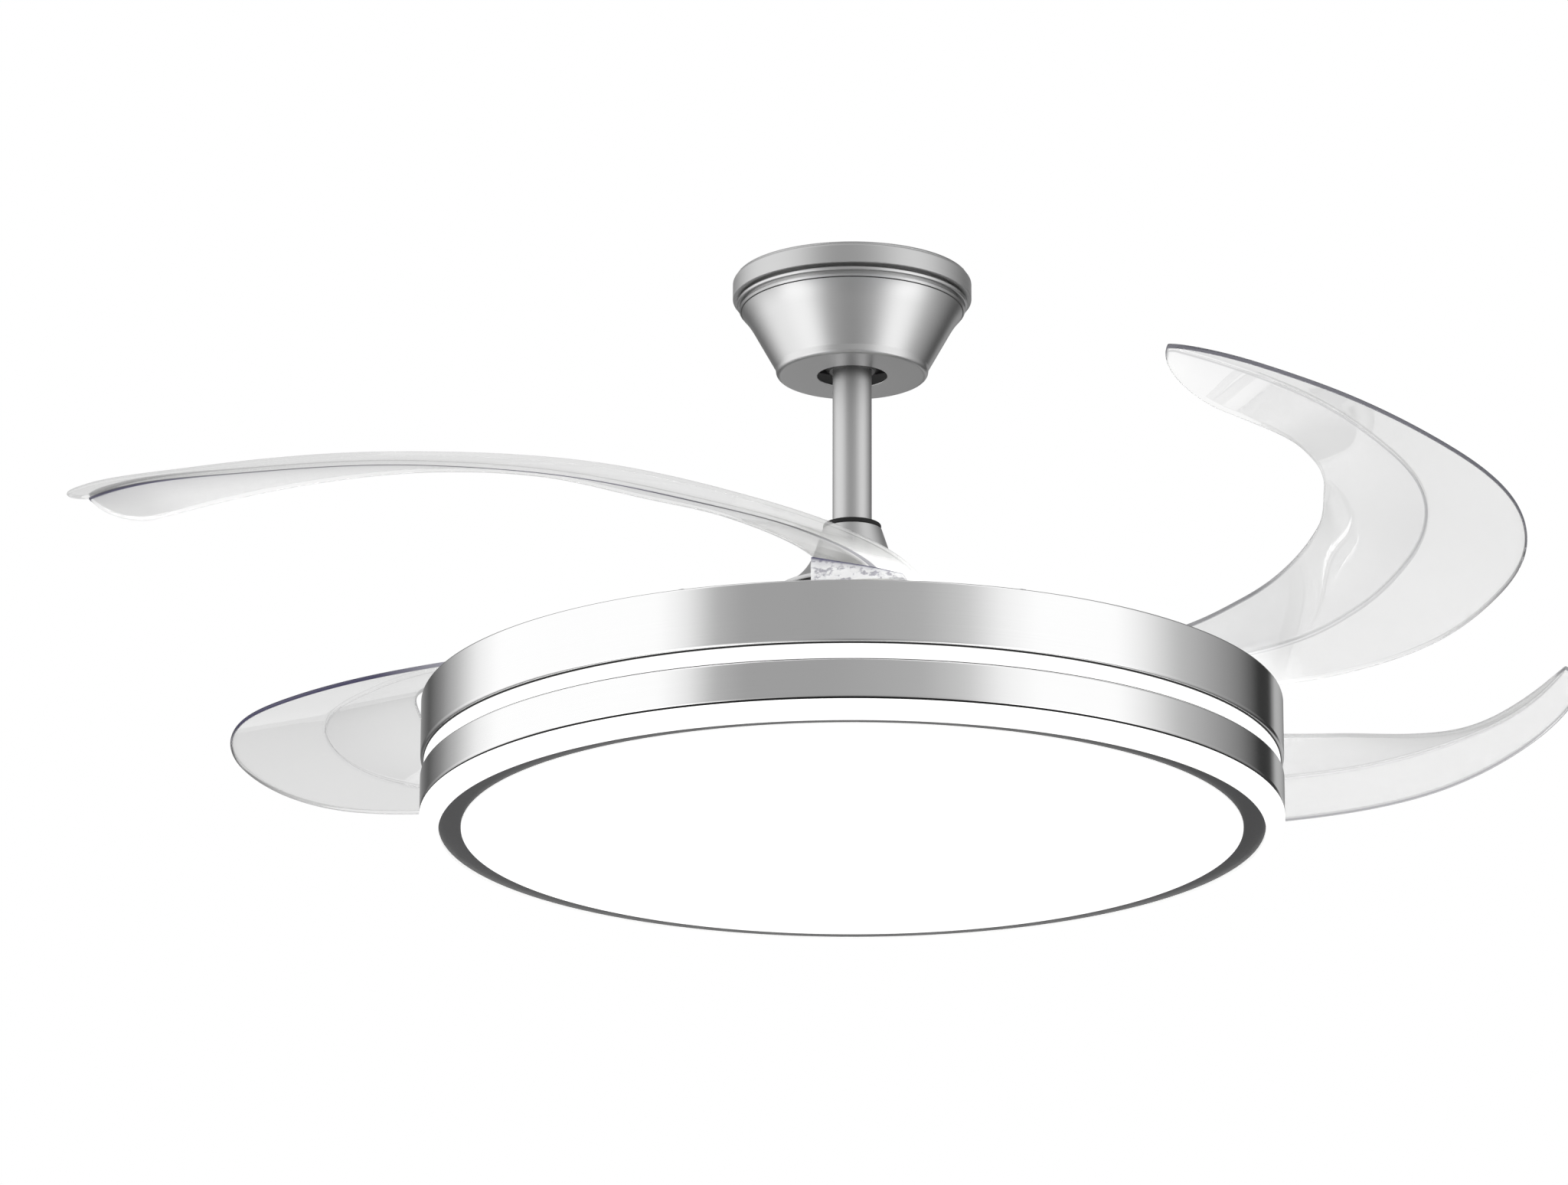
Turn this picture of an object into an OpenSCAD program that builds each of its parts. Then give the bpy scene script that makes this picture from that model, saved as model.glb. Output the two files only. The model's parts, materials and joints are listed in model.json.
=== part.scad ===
// Retractable-blade ceiling fan with a round drum light.
// Millimetres, +Z up. The origin is the centre of the mounting bracket's top face, on the ceiling,
// and everything hangs below it. The four clear blades are drawn spread out. Each one folds about
// its own upright pivot, clockwise seen from above, until it lies over the drum.

/* [Ceiling bracket] */
// Distance between the two ceiling screws
screw_spacing = 88; // [80:1:96]
// Width of the ceiling screw slots
slot_w = 5.5; // [4:0.5:7]
// Length of the ceiling screw slots, end to end
slot_l = 14; // [9:1:18]
// Width of the bracket's top plate
bracket_w = 38; // [34:1:44]
// Thickness of the bracket's steel
bracket_t = 2; // [1.5:0.25:2.5]
// Diameter of the hole for the supply wires
wire_hole_d = 15; // [10:1:16]
// Width of the legs that carry the ball seat
leg_w = 30; // [24:1:34]
// Distance of each leg from the fan's axis
leg_x = 31; // [28:1:33]
// Radius of the ball seat's plate
seat_r = 34; // [30:1:36]

/* [Canopy] */
// Radius of the canopy's cover ring
canopy_r = 70.4; // [68:0.2:76]
// Height of the cover ring
ring_h = 12; // [10:0.5:14]
// Height of the whole canopy
canopy_h = 58.8; // [56:0.2:64]
// Gap between the canopy and the ceiling
ceiling_gap = 2; // [2:0.5:5]
// Thickness of the canopy's sheet metal
canopy_t = 1.2; // [0.8:0.1:1.6]
// Radius where the canopy's shoulder ends and its cone starts
shoulder_r = 62; // [58:0.5:64]
// Depth of the shoulder below the canopy's top
shoulder_drop = 23; // [21:0.5:26]
// Radius of the canopy's cone at its lower end
cone_r = 45; // [43:0.5:50]
// Depth of the rolled lip under the cone
lip_h = 5; // [3:0.5:7]
// Diameter of the hole that the downrod hangs through
canopy_hole_d = 41; // [40:0.5:46]

/* [Hanger ball and downrod] */
// Radius of the hanger ball
ball_r = 24; // [23:0.5:25]
// Depth of the ball's centre below the ceiling
ball_drop = 38; // [37:0.5:40]
// Outer diameter of the downrod
rod_d = 23; // [20:0.5:25]
// Wall of the downrod
rod_t = 1.6; // [1.2:0.1:2.4]
// Length of the downrod
rod_l = 152; // [150:1:400]
// Diameter of the pins through the downrod
rod_pin_d = 6; // [5:0.5:7]

/* [Coupling cover] */
// Height of the rubber gasket
gasket_h = 3; // [1.5:0.5:4]
// Radius of the cover at its top
cover_top_r = 17.4; // [16:0.1:18]
// Radius of the cover's foot
cover_foot_r = 44.4; // [42:0.2:50]
// Height of the cover, top to foot
cover_h = 37.8; // [36:0.2:42]
// Thickness of the cover's sheet metal
cover_t = 1.2; // [0.8:0.1:1.6]

/* [Motor] */
// Radius of the motor's outer bell
motor_r = 86; // [82:1:87]
// Bare shaft between the yoke and the motor
shaft_gap = 10.6; // [10:0.1:16]
// Height of the motor, top to flange
motor_h = 39.5; // [39:0.5:48]
// Wall of the motor's bell
bell_t = 2.2; // [1.6:0.1:3]
// Radius of the motor shaft
shaft_r = 8; // [7:0.5:8.5]
// Number of stator teeth, and of coils
stator_slots = 12; // [9:3:18]
// Number of magnets
magnets = 16; // [12:2:20]
// Balls in each bearing
bearing_balls_n = 9; // [7:1:10]

/* [Blade gearing] */
// Gear module
gear_m = 2; // [1.8:0.1:2.1]
// Teeth of each blade's pinion
pinion_teeth = 33; // [31:1:34]
// Teeth of the ring gear, a multiple of four so that all the blades mesh alike
ring_teeth = 120; // [116:4:124]
// Backlash on each flank
backlash = 0.12; // [0.08:0.02:0.3]
// Thickness of the carrier plate
carrier_t = 3; // [2:0.5:3.5]
// Radius of the pivot bolt's shoulder
pivot_bolt_r = 5; // [4:0.5:5.5]

/* [Blades] */
// Angle of the first pivot round the fan's axis
pivot_angle = -19; // [-90:0.5:90]
// Angle that a blade folds through
fold_angle = 107; // [60:0.5:110]
// Thickness of the clear blade
blade_t = 2.6; // [2:0.2:3.2]
// How far a folded blade stays inside the drum's edge
blade_inset = 4; // [2:0.5:8]
// How much further in the leading edge lies at the belly
blade_tuck = 9; // [6:0.5:12]
// Angle round the drum from a blade's pivot to its tip, when folded
blade_arc = 171; // [164:1:175]
// Rise of the tip's leading edge above the root
tip_rise = 51; // [48:1:58]
// Lift of the belly's trailing edge above the leading edge
blade_lift = 29; // [26:1:32]
// Width of the blade at its belly
blade_w = 112; // [104:1:118]

/* [Drum] */
// Radius of the drum
drum_r = 250; // [244:1:262]
// Height of the upper metal band
upper_band_h = 35.6; // [30:0.2:44]
// Height of the lit band between the metal bands
light_band_h = 10; // [8:0.5:16]
// Height of the lower metal band
lower_band_h = 22.4; // [20:0.2:30]
// Height of the white ring round the diffuser
lens_ring_h = 9.9; // [9:0.1:14]
// Thickness of the bands' sheet metal
band_t = 1.2; // [0.8:0.1:1.6]
// Width of the white ring's face, from the drum's edge to the trim ring
lens_face_w = 11; // [10:0.5:16]
// Width of the dark trim ring
trim_w = 13; // [12:0.5:20]
// Thickness of the diffuser
diffuser_t = 2.4; // [1.6:0.2:3]
// Number of brackets that join the bands
band_brackets_n = 6; // [4:1:8]
// Number of light-emitting chips on each board
leds_per_board = 18; // [12:1:24]

/* [Hidden] */
$fn = 96;

// Finishes
nickel = [0.74, 0.74, 0.73];
steel = [0.62, 0.63, 0.65];
zinc = [0.78, 0.79, 0.8];
black = [0.08, 0.08, 0.09];
white = [0.96, 0.96, 0.95];
clear = [0.86, 0.88, 0.92, 0.45];
copper = [0.72, 0.42, 0.22];

// Clearances
run_gap = 0.06;       // a shaft turning in its bore
slip_gap = 0.1;       // a fixed piece in its hole
eps = 0.5;            // how far a cut runs past a face

// Heights of the ceiling end
canopy_top_z = -ceiling_gap;
canopy_base_z = canopy_top_z - canopy_h;
shoulder_z = canopy_top_z - shoulder_drop;
cone_end_z = canopy_base_z + lip_h;
ring_base_z = canopy_top_z - ring_h;
ring_in_r = canopy_r - canopy_t;
collar_r = ring_in_r - 1.8;                 // canopy's own wall, behind the cover ring
tab_w = 16;                                 // bracket tab that takes a canopy screw
tab_h = 13;
plate_x = sqrt(pow(collar_r - canopy_t, 2) - pow(tab_w / 2, 2)) - 0.2;
canopy_screw_z = canopy_top_z - ring_h / 2;
canopy_screw_r = 2;
wire_hole_y = bracket_w / 2 - wire_hole_d / 2 - 1;

// Ball and downrod
ball_z = -ball_drop;
ball_top = 8;                               // flat top above the ball's centre
ball_low = 20;                              // flat bottom below the ball's centre
seat_drop = 9;                              // seat's top face below the ball's centre
seat_z = ball_z - seat_drop;
rod_r = rod_d / 2;
rod_top_z = ball_z + 14;
rod_end_z = rod_top_z - rod_l;
pin_r = rod_pin_d / 2;
hanger_pin_z = ball_z + 4.5;
yoke_pin_z = rod_end_z + 8;

// Coupling cover and yoke
yoke_r = rod_r + 4;
yoke_floor_z = rod_end_z - 2;               // the rod stands 2 mm clear of the yoke's floor
yoke_top_z = rod_end_z + 14;
cover_top_z = rod_end_z + 20.4;
cover_base_z = cover_top_z - cover_h;
gasket_r = cover_top_r - 0.4;
flare_start = 18;                           // angles of the cover's flare from the upright
flare_end = 70;
waist_drop = 13.5;
waist_r = cover_top_r + waist_drop * tan(flare_start);
flare_x = cos(flare_start) - cos(flare_end);
flare_z = sin(flare_end) - sin(flare_start);
lip_drop = 2.5;
flange_t = 2.2;
flange_z = cover_base_z - cover_t - 0.1;    // the yoke's flange carries the cover's foot
yoke_base_z = flange_z - flange_t;

// Motor and blade carrier
motor_top_z = yoke_base_z - shaft_gap;
flange_base_z = motor_top_z - motor_h;
plate_t = 2.5;                              // motor end plate, and the bell's flange
ring_play = 0.3;
gear_h = 6.4;
collar_h = gear_h + 2 * ring_play;
carrier_z = flange_base_z - collar_h;       // carrier's top face
carrier_base_z = carrier_z - carrier_t;
bearing_w = 8;
bearing_in_r = shaft_r + 2.3;
bearing_mid_r = shaft_r + 4;
bearing_race_r = shaft_r + 5.7;
rotor_bore_r = bearing_in_r + 1.2;           // clears the bearings' inner rings
bearing_r = shaft_r + 8;
ball_bearing_r = 1.9;
top_bearing_z = motor_top_z - plate_t - bearing_w;
low_bearing_z = flange_base_z - bearing_w;
stator_z = flange_base_z + plate_t + 5;       // underside of the laminated stack
stator_h = 13;
magnet_t = 4;
magnet_r = motor_r - bell_t;
stator_r = magnet_r - magnet_t - 1;         // 1 mm air gap
motor_flange_r = motor_r + 12;
motor_screw_r = motor_r + 7;

// Gearing
ring_pitch_r = gear_m * ring_teeth / 2;
pinion_pitch_r = gear_m * pinion_teeth / 2;
pivot_r = ring_pitch_r + pinion_pitch_r;
ring_bore_r = motor_flange_r + 0.5;
keeper_r = ring_bore_r + 5.5;               // the end plate holds the ring gear down
pressure_angle = 20;
washer_t = 0.6;
pinion_z = carrier_z + washer_t;
pinion_top_z = flange_base_z;
tube_r = pivot_bolt_r + 5;                  // hub's bearing tube
head_r = 9;
head_h = 4;
spring_r = tube_r + 2.6;
spring_wire_r = 0.6;
spring_turns = 2;
spring_pitch = 1.3;
pocket_r = spring_r + 2.4;
pocket_h = 4.4;                             // above the carrier

// Blade hub, root block and leaf
hub_plate_t = 3.2;
plate_top_z = pinion_top_z + hub_plate_t;
leaf_z = plate_top_z + blade_t / 2;         // middle of the leading edge at the root
leaf_top_z = leaf_z + blade_t / 2;
tube_top_z = leaf_top_z + 1;
boss_r = 20;                                // hub's boss round the pivot
fold_r = drum_r - blade_inset;
root_gap = 12.5;                            // between the boss and the blade's root
root_w = fold_r - pivot_r - boss_r - root_gap;
arm_r = root_w / 2 - 5.25;                  // hub's plate under the root
root_arm_r = fold_r - arm_r - 5;            // its far end, as polar place when folded
root_arm_angle = 4.5;
root_arm = [root_arm_r * cos(root_arm_angle) - pivot_r, -root_arm_r * sin(root_arm_angle)];
block_from = 4;                             // stations between which the root block lies
block_to = 7;
root_end_angle = -10;                       // the blade's root end lies before its pivot
root_angle = 8;                             // end of the straight root
tip_round = 11;                             // degrees of arc that round the tip
root_round = 4;                             // and the root
// Sections of the folded blade. Angle from the pivot, and then as shares: leading edge's tuck,
// width, crease's place from the leading edge, rise, crease's lift, trailing edge's lift
SECTIONS = [
    [root_end_angle, 0, root_w / blade_w, 0.42, 0, 0.2, 0.4],
    [root_angle, 0, root_w / blade_w, 0.42, 0, 0.27, 0.54],
    [30, 0.05, 0.77, 0.44, -0.04, 0.38, 0.89],
    [50, 0.35, 0.935, 0.5, 0, 0.44, 0.98],
    [72, 0.85, 0.985, 0.52, 0.145, 0.41, 0.96],
    [98, 0.95, 1, 0.49, 0.235, 0.42, 0.91],
    [128, 0.3, 0.865, 0.465, 0.365, 0.37, 0.57],
    [152, 0, 0.54, 0.45, 0.68, 0.2, -0.2],
    [blade_arc, 0, 0.33, 0.43, 1, 0.08, -0.54]
];
leaf_stations = 32;
leaf_chords = 6;

// Drum, from the top down
hub_gap = 2.5;
light_hub_top_z = carrier_base_z - hub_gap;
light_hub_t = 4.8;
base_plate_z = light_hub_top_z - light_hub_t;        // base plate's top face
base_plate_t = 1.5;
drum_top_z = base_plate_z + band_t;
upper_end_z = drum_top_z - upper_band_h;
light_end_z = upper_end_z - light_band_h;
lower_end_z = light_end_z - lower_band_h;
drum_base_z = lower_end_z - lens_ring_h;
lip_in_r = drum_r - 9;
trim_r = drum_r - lens_face_w;
diffuser_r = trim_r - trim_w;
strip_t = 2.5;
strip_r = lip_in_r - slip_gap;
strip_w = 20;
corner_r = 6;
ring_wall = 2.6;
trim_flange_t = 2.2;
face_z = drum_base_z + 0.5;                 // diffuser's face, just behind the white ring's
trim_z = drum_base_z + 2.6;                 // trim's face lies deeper between the two
rim_top_z = face_z + 10;                    // top of the diffuser's and the trim's walls
foot_t = 2;
foot_z = lower_end_z;                       // feet of the brackets, on the white ring's inner wall
trim_screw_r = (diffuser_r + trim_r) / 2 + 1.5;
tray_r = diffuser_r - 12;
tray_z = upper_end_z - 8;
tray_t = 1.2;
tray_post_r = 4;
tray_post_at = tray_r - 34;
board_t = 1.6;
board_in_r = 70;
board_out_r = tray_r - 14;
led_rows = 3;
led_first_r = board_in_r + 25;
led_step = (board_out_r - led_first_r - 21) / (led_rows - 1);
rim_screws = 8;
rim_screw_at = lip_in_r + 4;
hub_screw_at = 24;
small_screw_r = 1.6;

function involute(a) = tan(a) * 180 / PI - a;

// Outline of an external gear with a tooth centred on +X
function gear_points(teeth) =
    let (
        pitch = gear_m * teeth / 2,
        base = pitch * cos(pressure_angle),
        tip = pitch + gear_m,
        root = pitch - 1.25 * gear_m,
        low = max(base, root),
        half = 90 / teeth - backlash / pitch * 180 / PI + involute(pressure_angle),
        flank = [for (i = [0:3]) let (r = low + (tip - low) * i / 3)
            [r, half - involute(acos(base / r))]],
        left = concat([[root, -flank[0][1]]], [for (f = flank) [f[0], -f[1]]]),
        right = concat([for (i = [3:-1:0]) flank[i]], [[root, flank[0][1]]])
    )
    [for (k = [0:teeth - 1]) for (p = concat(left, right))
        let (a = p[1] + 360 * k / teeth) [p[0] * cos(a), p[0] * sin(a)]];

function arc(c, r, a0, a1, n = 6) =
    [for (i = [0:n]) let (a = a0 + (a1 - a0) * i / n) [c[0] + r * cos(a), c[1] + r * sin(a)]];

// Smooth curve through one column of a table of rows that start with an angle
function slope(t, i, c) =
    let (a = max(i - 1, 0), b = min(i + 1, len(t) - 1)) (t[b][c] - t[a][c]) / (t[b][0] - t[a][0]);
function row_at(t, x, i = 0) = (i >= len(t) - 2 || x < t[i + 1][0]) ? i : row_at(t, x, i + 1);
function along(t, x0, c) =
    let (
        x = min(max(x0, t[0][0]), t[len(t) - 1][0]),
        i = row_at(t, x),
        h = t[i + 1][0] - t[i][0],
        s = (x - t[i][0]) / h
    )
    (2 * pow(s, 3) - 3 * s * s + 1) * t[i][c] + (pow(s, 3) - 2 * s * s + s) * h * slope(t, i, c)
    + (3 * s * s - 2 * pow(s, 3)) * t[i + 1][c] + (pow(s, 3) - s * s) * h * slope(t, i + 1, c);

// The blade, folded: u is the angle from the pivot, s runs from the leading edge, 0, to the
// trailing edge, 1
function rounded(u) =
    sqrt(max(0, 1 - pow(max(0, (u - (blade_arc - tip_round)) / tip_round), 2)))
    * sqrt(max(0, 1 - pow(max(0, (root_end_angle + root_round - u) / root_round), 2)));
function lift(u, s) =
    let (c = along(SECTIONS, u, 3), k = along(SECTIONS, u, 5), e = along(SECTIONS, u, 6))
    blade_lift * (s < c ? k * s / c : k + (e - k) * (s - c) / (1 - c));
function rise(u) = tip_rise * along(SECTIONS, u, 4);
function leaf_point(u, s0, side) =
    let (
        s = 0.5 + (s0 - 0.5) * max(rounded(u), 0.02),
        r = fold_r - blade_tuck * along(SECTIONS, u, 1) - blade_w * along(SECTIONS, u, 2) * s
    )
    [r * cos(u) - pivot_r, -r * sin(u), leaf_z + rise(u) + lift(u, s) + side * blade_t / 2];

// Shares of the width at which a section has points, with the crease as the middle one
function chord(u, j) =
    let (c = along(SECTIONS, u, 3), h = leaf_chords / 2) j <= h ? c * j / h : c + (1 - c) * (j - h) / h;
function station(i) =
    root_end_angle + (blade_arc - root_end_angle) * (0.5 - 0.5 * cos(180 * i / leaf_stations));

module tube(r_out, r_in, low, high) {
    translate([0, 0, low]) difference() {
        cylinder(r = r_out, h = high - low);
        translate([0, 0, -eps]) cylinder(r = r_in, h = high - low + 2 * eps);
    }
}

module disc(r, low, high) {
    translate([0, 0, low]) cylinder(r = r, h = high - low);
}

// Two round ends and the tangent plate between them
module link_plate(a, ra, b, rb) {
    d = norm(b - a);
    dir = atan2(b[1] - a[1], b[0] - a[0]);
    t = acos((ra - rb) / d);
    translate(a) circle(r = ra);
    translate(b) circle(r = rb);
    polygon([
        a + ra * [cos(dir + t), sin(dir + t)], b + rb * [cos(dir + t), sin(dir + t)],
        b + rb * [cos(dir - t), sin(dir - t)], a + ra * [cos(dir - t), sin(dir - t)]
    ]);
}

module round_box(size, r) {
    for (x = [-1, 1]) for (y = [-1, 1])
        translate([x * (size[0] / 2 - r), y * (size[1] / 2 - r), 0]) cylinder(r = r, h = size[2]);
    translate([r - size[0] / 2, -size[1] / 2, 0]) cube([size[0] - 2 * r, size[1], size[2]]);
    translate([-size[0] / 2, r - size[1] / 2, 0]) cube([size[0], size[1] - 2 * r, size[2]]);
}

module around(n, r, start = 0) {
    for (k = [0:n - 1]) rotate([0, 0, start + 360 * k / n]) translate([r, 0, 0]) children();
}

// Puts its children at a blade's pivot, with the fan's axis at [-pivot_r, 0]
module at_pivot(i) {
    rotate([0, 0, pivot_angle + 90 * (i - 1)]) translate([pivot_r, 0, 0]) children();
}

// The same, turned from folded to spread
module spread(i) {
    at_pivot(i) rotate([0, 0, fold_angle]) children();
}

module along_x(r, length) {
    rotate([0, 90, 0]) cylinder(r = r, h = length, center = true);
}

module pan_screw(head, head_t, shank, shank_l) {
    cylinder(r = head, h = head_t);
    translate([0, 0, -shank_l]) cylinder(r = shank, h = shank_l + eps);
}

// ---- Ceiling end

module ceiling_bracket() {
    color(zinc) difference() {
        union() {
            translate([-plate_x, -bracket_w / 2, -bracket_t]) cube([2 * plate_x, bracket_w, bracket_t]);
            for (side = [-1, 1]) {
                translate([side * (plate_x - bracket_t / 2) - bracket_t / 2, -tab_w / 2, -tab_h])
                    cube([bracket_t, tab_w, tab_h]);
                translate([side * leg_x - bracket_t / 2, -leg_w / 2, seat_z - bracket_t])
                    cube([bracket_t, leg_w, bracket_t - seat_z]);
            }
            disc(seat_r, seat_z - bracket_t, seat_z);
        }
        translate([0, 0, ball_z]) sphere(r = ball_r + run_gap);
        translate([-rod_r - 1, 0, seat_z - bracket_t - eps])
            cube([rod_d + 2, seat_r + eps, bracket_t + 2 * eps]);
        for (side = [-1, 1]) translate([side * screw_spacing / 2, 0, -bracket_t - eps])
            linear_extrude(bracket_t + 2 * eps)
                link_plate([(slot_w - slot_l) / 2, 0], slot_w / 2, [(slot_l - slot_w) / 2, 0], slot_w / 2);
        translate([0, wire_hole_y, -bracket_t - eps]) cylinder(d = wire_hole_d, h = bracket_t + 2 * eps);
        for (side = [-1, 1]) translate([side * plate_x, 0, canopy_screw_z])
            along_x(canopy_screw_r + slip_gap, 4 * bracket_t);
    }
}

receiver_size = [2 * leg_x - bracket_t - 3, 20, 17];
module receiver() {
    color(black) translate([0, -bracket_w / 2 + receiver_size[1] / 2, -bracket_t - receiver_size[2]])
        difference() {
            round_box(receiver_size, 2);
            for (x = [-1:1]) translate([x * 9, -receiver_size[1] / 2, receiver_size[2] / 2])
                rotate([90, 0, 0]) cylinder(r = 2, h = 2, center = true);
        }
}

terminal_size = [16, 10, 11];
module terminal_block() {
    x = leg_x - bracket_t - terminal_size[0] / 2 - 1;
    color(white) translate([x, wire_hole_y, -bracket_t - terminal_size[2]])
        difference() {
            round_box(terminal_size, 1);
            for (x = [-1:1]) translate([x * 5, 0, -eps]) cylinder(r = 1.6, h = 5);
        }
}

module canopy_ring() {
    color(nickel) rotate_extrude() polygon(concat(
        [[ring_in_r, canopy_top_z - 1.2], [ring_in_r, ring_base_z + canopy_t],
         [collar_r + slip_gap, ring_base_z + canopy_t], [collar_r + slip_gap, ring_base_z]],
        arc([canopy_r - 1, ring_base_z + 1], 1, 270, 360, 3),
        arc([canopy_r - 1.6, canopy_top_z - 1.6], 1.6, 0, 70, 3)
    ));
}

bead_h = 3.4;
bead_groove = 0.7;
module canopy() {
    bead_top = ring_base_z - bead_groove;
    color(nickel) difference() {
        canopy_shell(bead_top);
        for (side = [-1, 1]) translate([side * collar_r, 0, canopy_screw_z])
            along_x(canopy_screw_r + slip_gap, 6 * canopy_t);
    }
}

module canopy_shell(bead_top) {
    rotate_extrude() difference() {
        polygon(concat(
            [[0, canopy_base_z], [cone_r - 3.6, canopy_base_z]],
            arc([cone_r - 3.6, canopy_base_z + 2.4], 2.4, 270, 350, 4),
            [[cone_r, cone_end_z], [(cone_r + shoulder_r) / 2 - 0.4, (cone_end_z + shoulder_z) / 2],
             [shoulder_r, shoulder_z], [canopy_r - 2.2, bead_top - bead_h - bead_groove],
             [canopy_r - 2.6, bead_top - bead_h]],
            arc([canopy_r - 2.6, bead_top - bead_h / 2], bead_h / 2, -80, 80, 6),
            [[collar_r, bead_top], [collar_r, canopy_top_z], [0, canopy_top_z]]
        ));
        polygon([
            [0, canopy_base_z + canopy_t], [cone_r - 4.4, canopy_base_z + canopy_t],
            [cone_r - canopy_t - 0.4, cone_end_z],
            [(cone_r + shoulder_r) / 2 - 0.4 - canopy_t, (cone_end_z + shoulder_z) / 2],
            [shoulder_r - canopy_t - 0.2, shoulder_z],
            [canopy_r - 5.4, bead_top - bead_h - bead_groove],
            [collar_r - canopy_t, bead_top - bead_h / 2],
            [collar_r - canopy_t, canopy_top_z + eps], [0, canopy_top_z + eps]
        ]);
        translate([-eps, canopy_base_z - eps]) square([canopy_hole_d / 2 + eps, canopy_t + 2 * eps]);
    }
}

canopy_screw_head = 3.4;
module canopy_screws() {
    for (side = [0, 180]) color(steel) rotate([0, 0, side])
        translate([collar_r + 0.05, 0, canopy_screw_z]) rotate([0, 90, 0])
            pan_screw(canopy_screw_head, 1.5, canopy_screw_r, 6);
}

// ---- Hanging frame

module hanger_ball() {
    color([0.45, 0.45, 0.46]) translate([0, 0, ball_z]) difference() {
        intersection() {
            sphere(r = ball_r);
            disc(ball_r, -ball_low, ball_top);
        }
        disc(rod_r + slip_gap, -ball_r, ball_r);
        translate([0, 0, hanger_pin_z - ball_z]) {
            along_x(pin_r + slip_gap, 3 * ball_r);
            translate([-2 * ball_r, -pin_r - slip_gap, 0])
                cube([4 * ball_r, 2 * (pin_r + slip_gap), ball_r]);
        }
        translate([0, rod_r, ball_screw_dz]) rotate([-90, 0, 0])
            cylinder(r = set_screw_r + slip_gap, h = ball_r);
    }
}

ball_screw_dz = -3.5;
set_screw_r = 2.5;
yoke_screw_z = yoke_top_z - 5;
module set_screws() {
    color(steel) {
        translate([0, rod_r, ball_z + ball_screw_dz]) rotate([-90, 0, 0]) cylinder(r = set_screw_r, h = 10);
        for (side = [-1, 1]) translate([0, side * (rod_r + 0.05), yoke_screw_z]) rotate([-90 * side, 0, 0])
            cylinder(r = set_screw_r, h = yoke_r - rod_r + 1);
    }
}

rod_pin_l = 2 * (yoke_r + 2.5);
module rod_pins() {
    color(steel) for (z = [hanger_pin_z, yoke_pin_z]) translate([0, 0, z]) along_x(pin_r, rod_pin_l);
}

module downrod() {
    color(nickel) difference() {
        tube(rod_r, rod_r - rod_t, rod_end_z, rod_top_z);
        for (z = [hanger_pin_z, yoke_pin_z]) translate([0, 0, z]) along_x(pin_r + slip_gap, 4 * rod_r);
    }
}

module rod_gasket() {
    color(black) tube(gasket_r, rod_r, cover_top_z, cover_top_z + gasket_h);
}

function flare_point(a, off) = [
    waist_r + (cover_foot_r - waist_r) * (cos(flare_start) - cos(a)) / flare_x - off * cos(a),
    cover_top_z - waist_drop - (cover_h - waist_drop) * (sin(a) - sin(flare_start)) / flare_z
        - off * sin(a)
];
module coupling_cover() {
    steps = 9;
    angles = [for (i = [0:steps]) flare_start + (flare_end - flare_start) * i / steps];
    color(nickel) rotate_extrude() polygon(concat(
        [[rod_r + 0.5, cover_top_z], [cover_top_r, cover_top_z]],
        [for (a = angles) flare_point(a, 0)],
        [[cover_foot_r + 0.6, cover_base_z - 0.6], [cover_foot_r + 0.6, cover_base_z - lip_drop],
         [cover_foot_r - 0.6, cover_base_z - lip_drop], [cover_foot_r - 0.6, cover_base_z - cover_t]],
        [for (i = [steps:-1:0]) flare_point(angles[i], cover_t)],
        [[cover_top_r - cover_t, cover_top_z - cover_t], [rod_r + 0.5, cover_top_z - cover_t]]
    ));
}

module yoke() {
    color([0.4, 0.41, 0.43]) difference() {
        union() {
            disc(yoke_r, yoke_base_z, yoke_top_z);
            disc(cover_foot_r - 1.8, yoke_base_z, flange_z);
        }
        disc(rod_r + slip_gap, yoke_floor_z, yoke_top_z + eps);
        disc(shaft_r, yoke_base_z - eps, yoke_floor_z + eps);
        translate([0, 0, yoke_pin_z]) along_x(pin_r + slip_gap, 4 * yoke_r);
        for (side = [-1, 1]) translate([0, 0, yoke_screw_z]) rotate([-90 * side, 0, 0])
            cylinder(r = set_screw_r + slip_gap, h = 2 * yoke_r);
    }
}

module pin_clips() {
    for (side = [-1, 1]) color(steel) translate([side * (yoke_r + 1), 0, yoke_pin_z]) rotate([0, 90, 0])
        tube(pin_r + 1.8, pin_r, -0.5, 0.5);
}

module motor_shaft() {
    color(steel) tube(shaft_r, shaft_r - 3.2, base_plate_z, yoke_floor_z);
}

tooth_w = 7;
coil_w = 5;
coil_over = 4;
module stator_core() {
    color(steel) difference() {
        union() {
            disc(stator_r - 30, stator_z, stator_z + stator_h);
            around(stator_slots, 0) translate([20, -tooth_w / 2, stator_z])
                cube([stator_r - 24, tooth_w, stator_h]);
            intersection() {
                tube(stator_r, stator_r - 5, stator_z, stator_z + stator_h);
                around(stator_slots, 0) translate([20, -tooth_w / 2 - 4, stator_z])
                    cube([stator_r, tooth_w + 8, stator_h]);
            }
        }
        disc(shaft_r, stator_z - eps, stator_z + stator_h + eps);
    }
}

module stator_windings() {
    coil_l = 22;
    color(copper) around(stator_slots, stator_r - 29) difference() {
        translate([0, -tooth_w / 2 - coil_w, stator_z - coil_over])
            cube([coil_l, tooth_w + 2 * coil_w, stator_h + 2 * coil_over]);
        translate([-eps, -tooth_w / 2, stator_z]) cube([coil_l + 2 * eps, tooth_w, stator_h]);
    }
}

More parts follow.
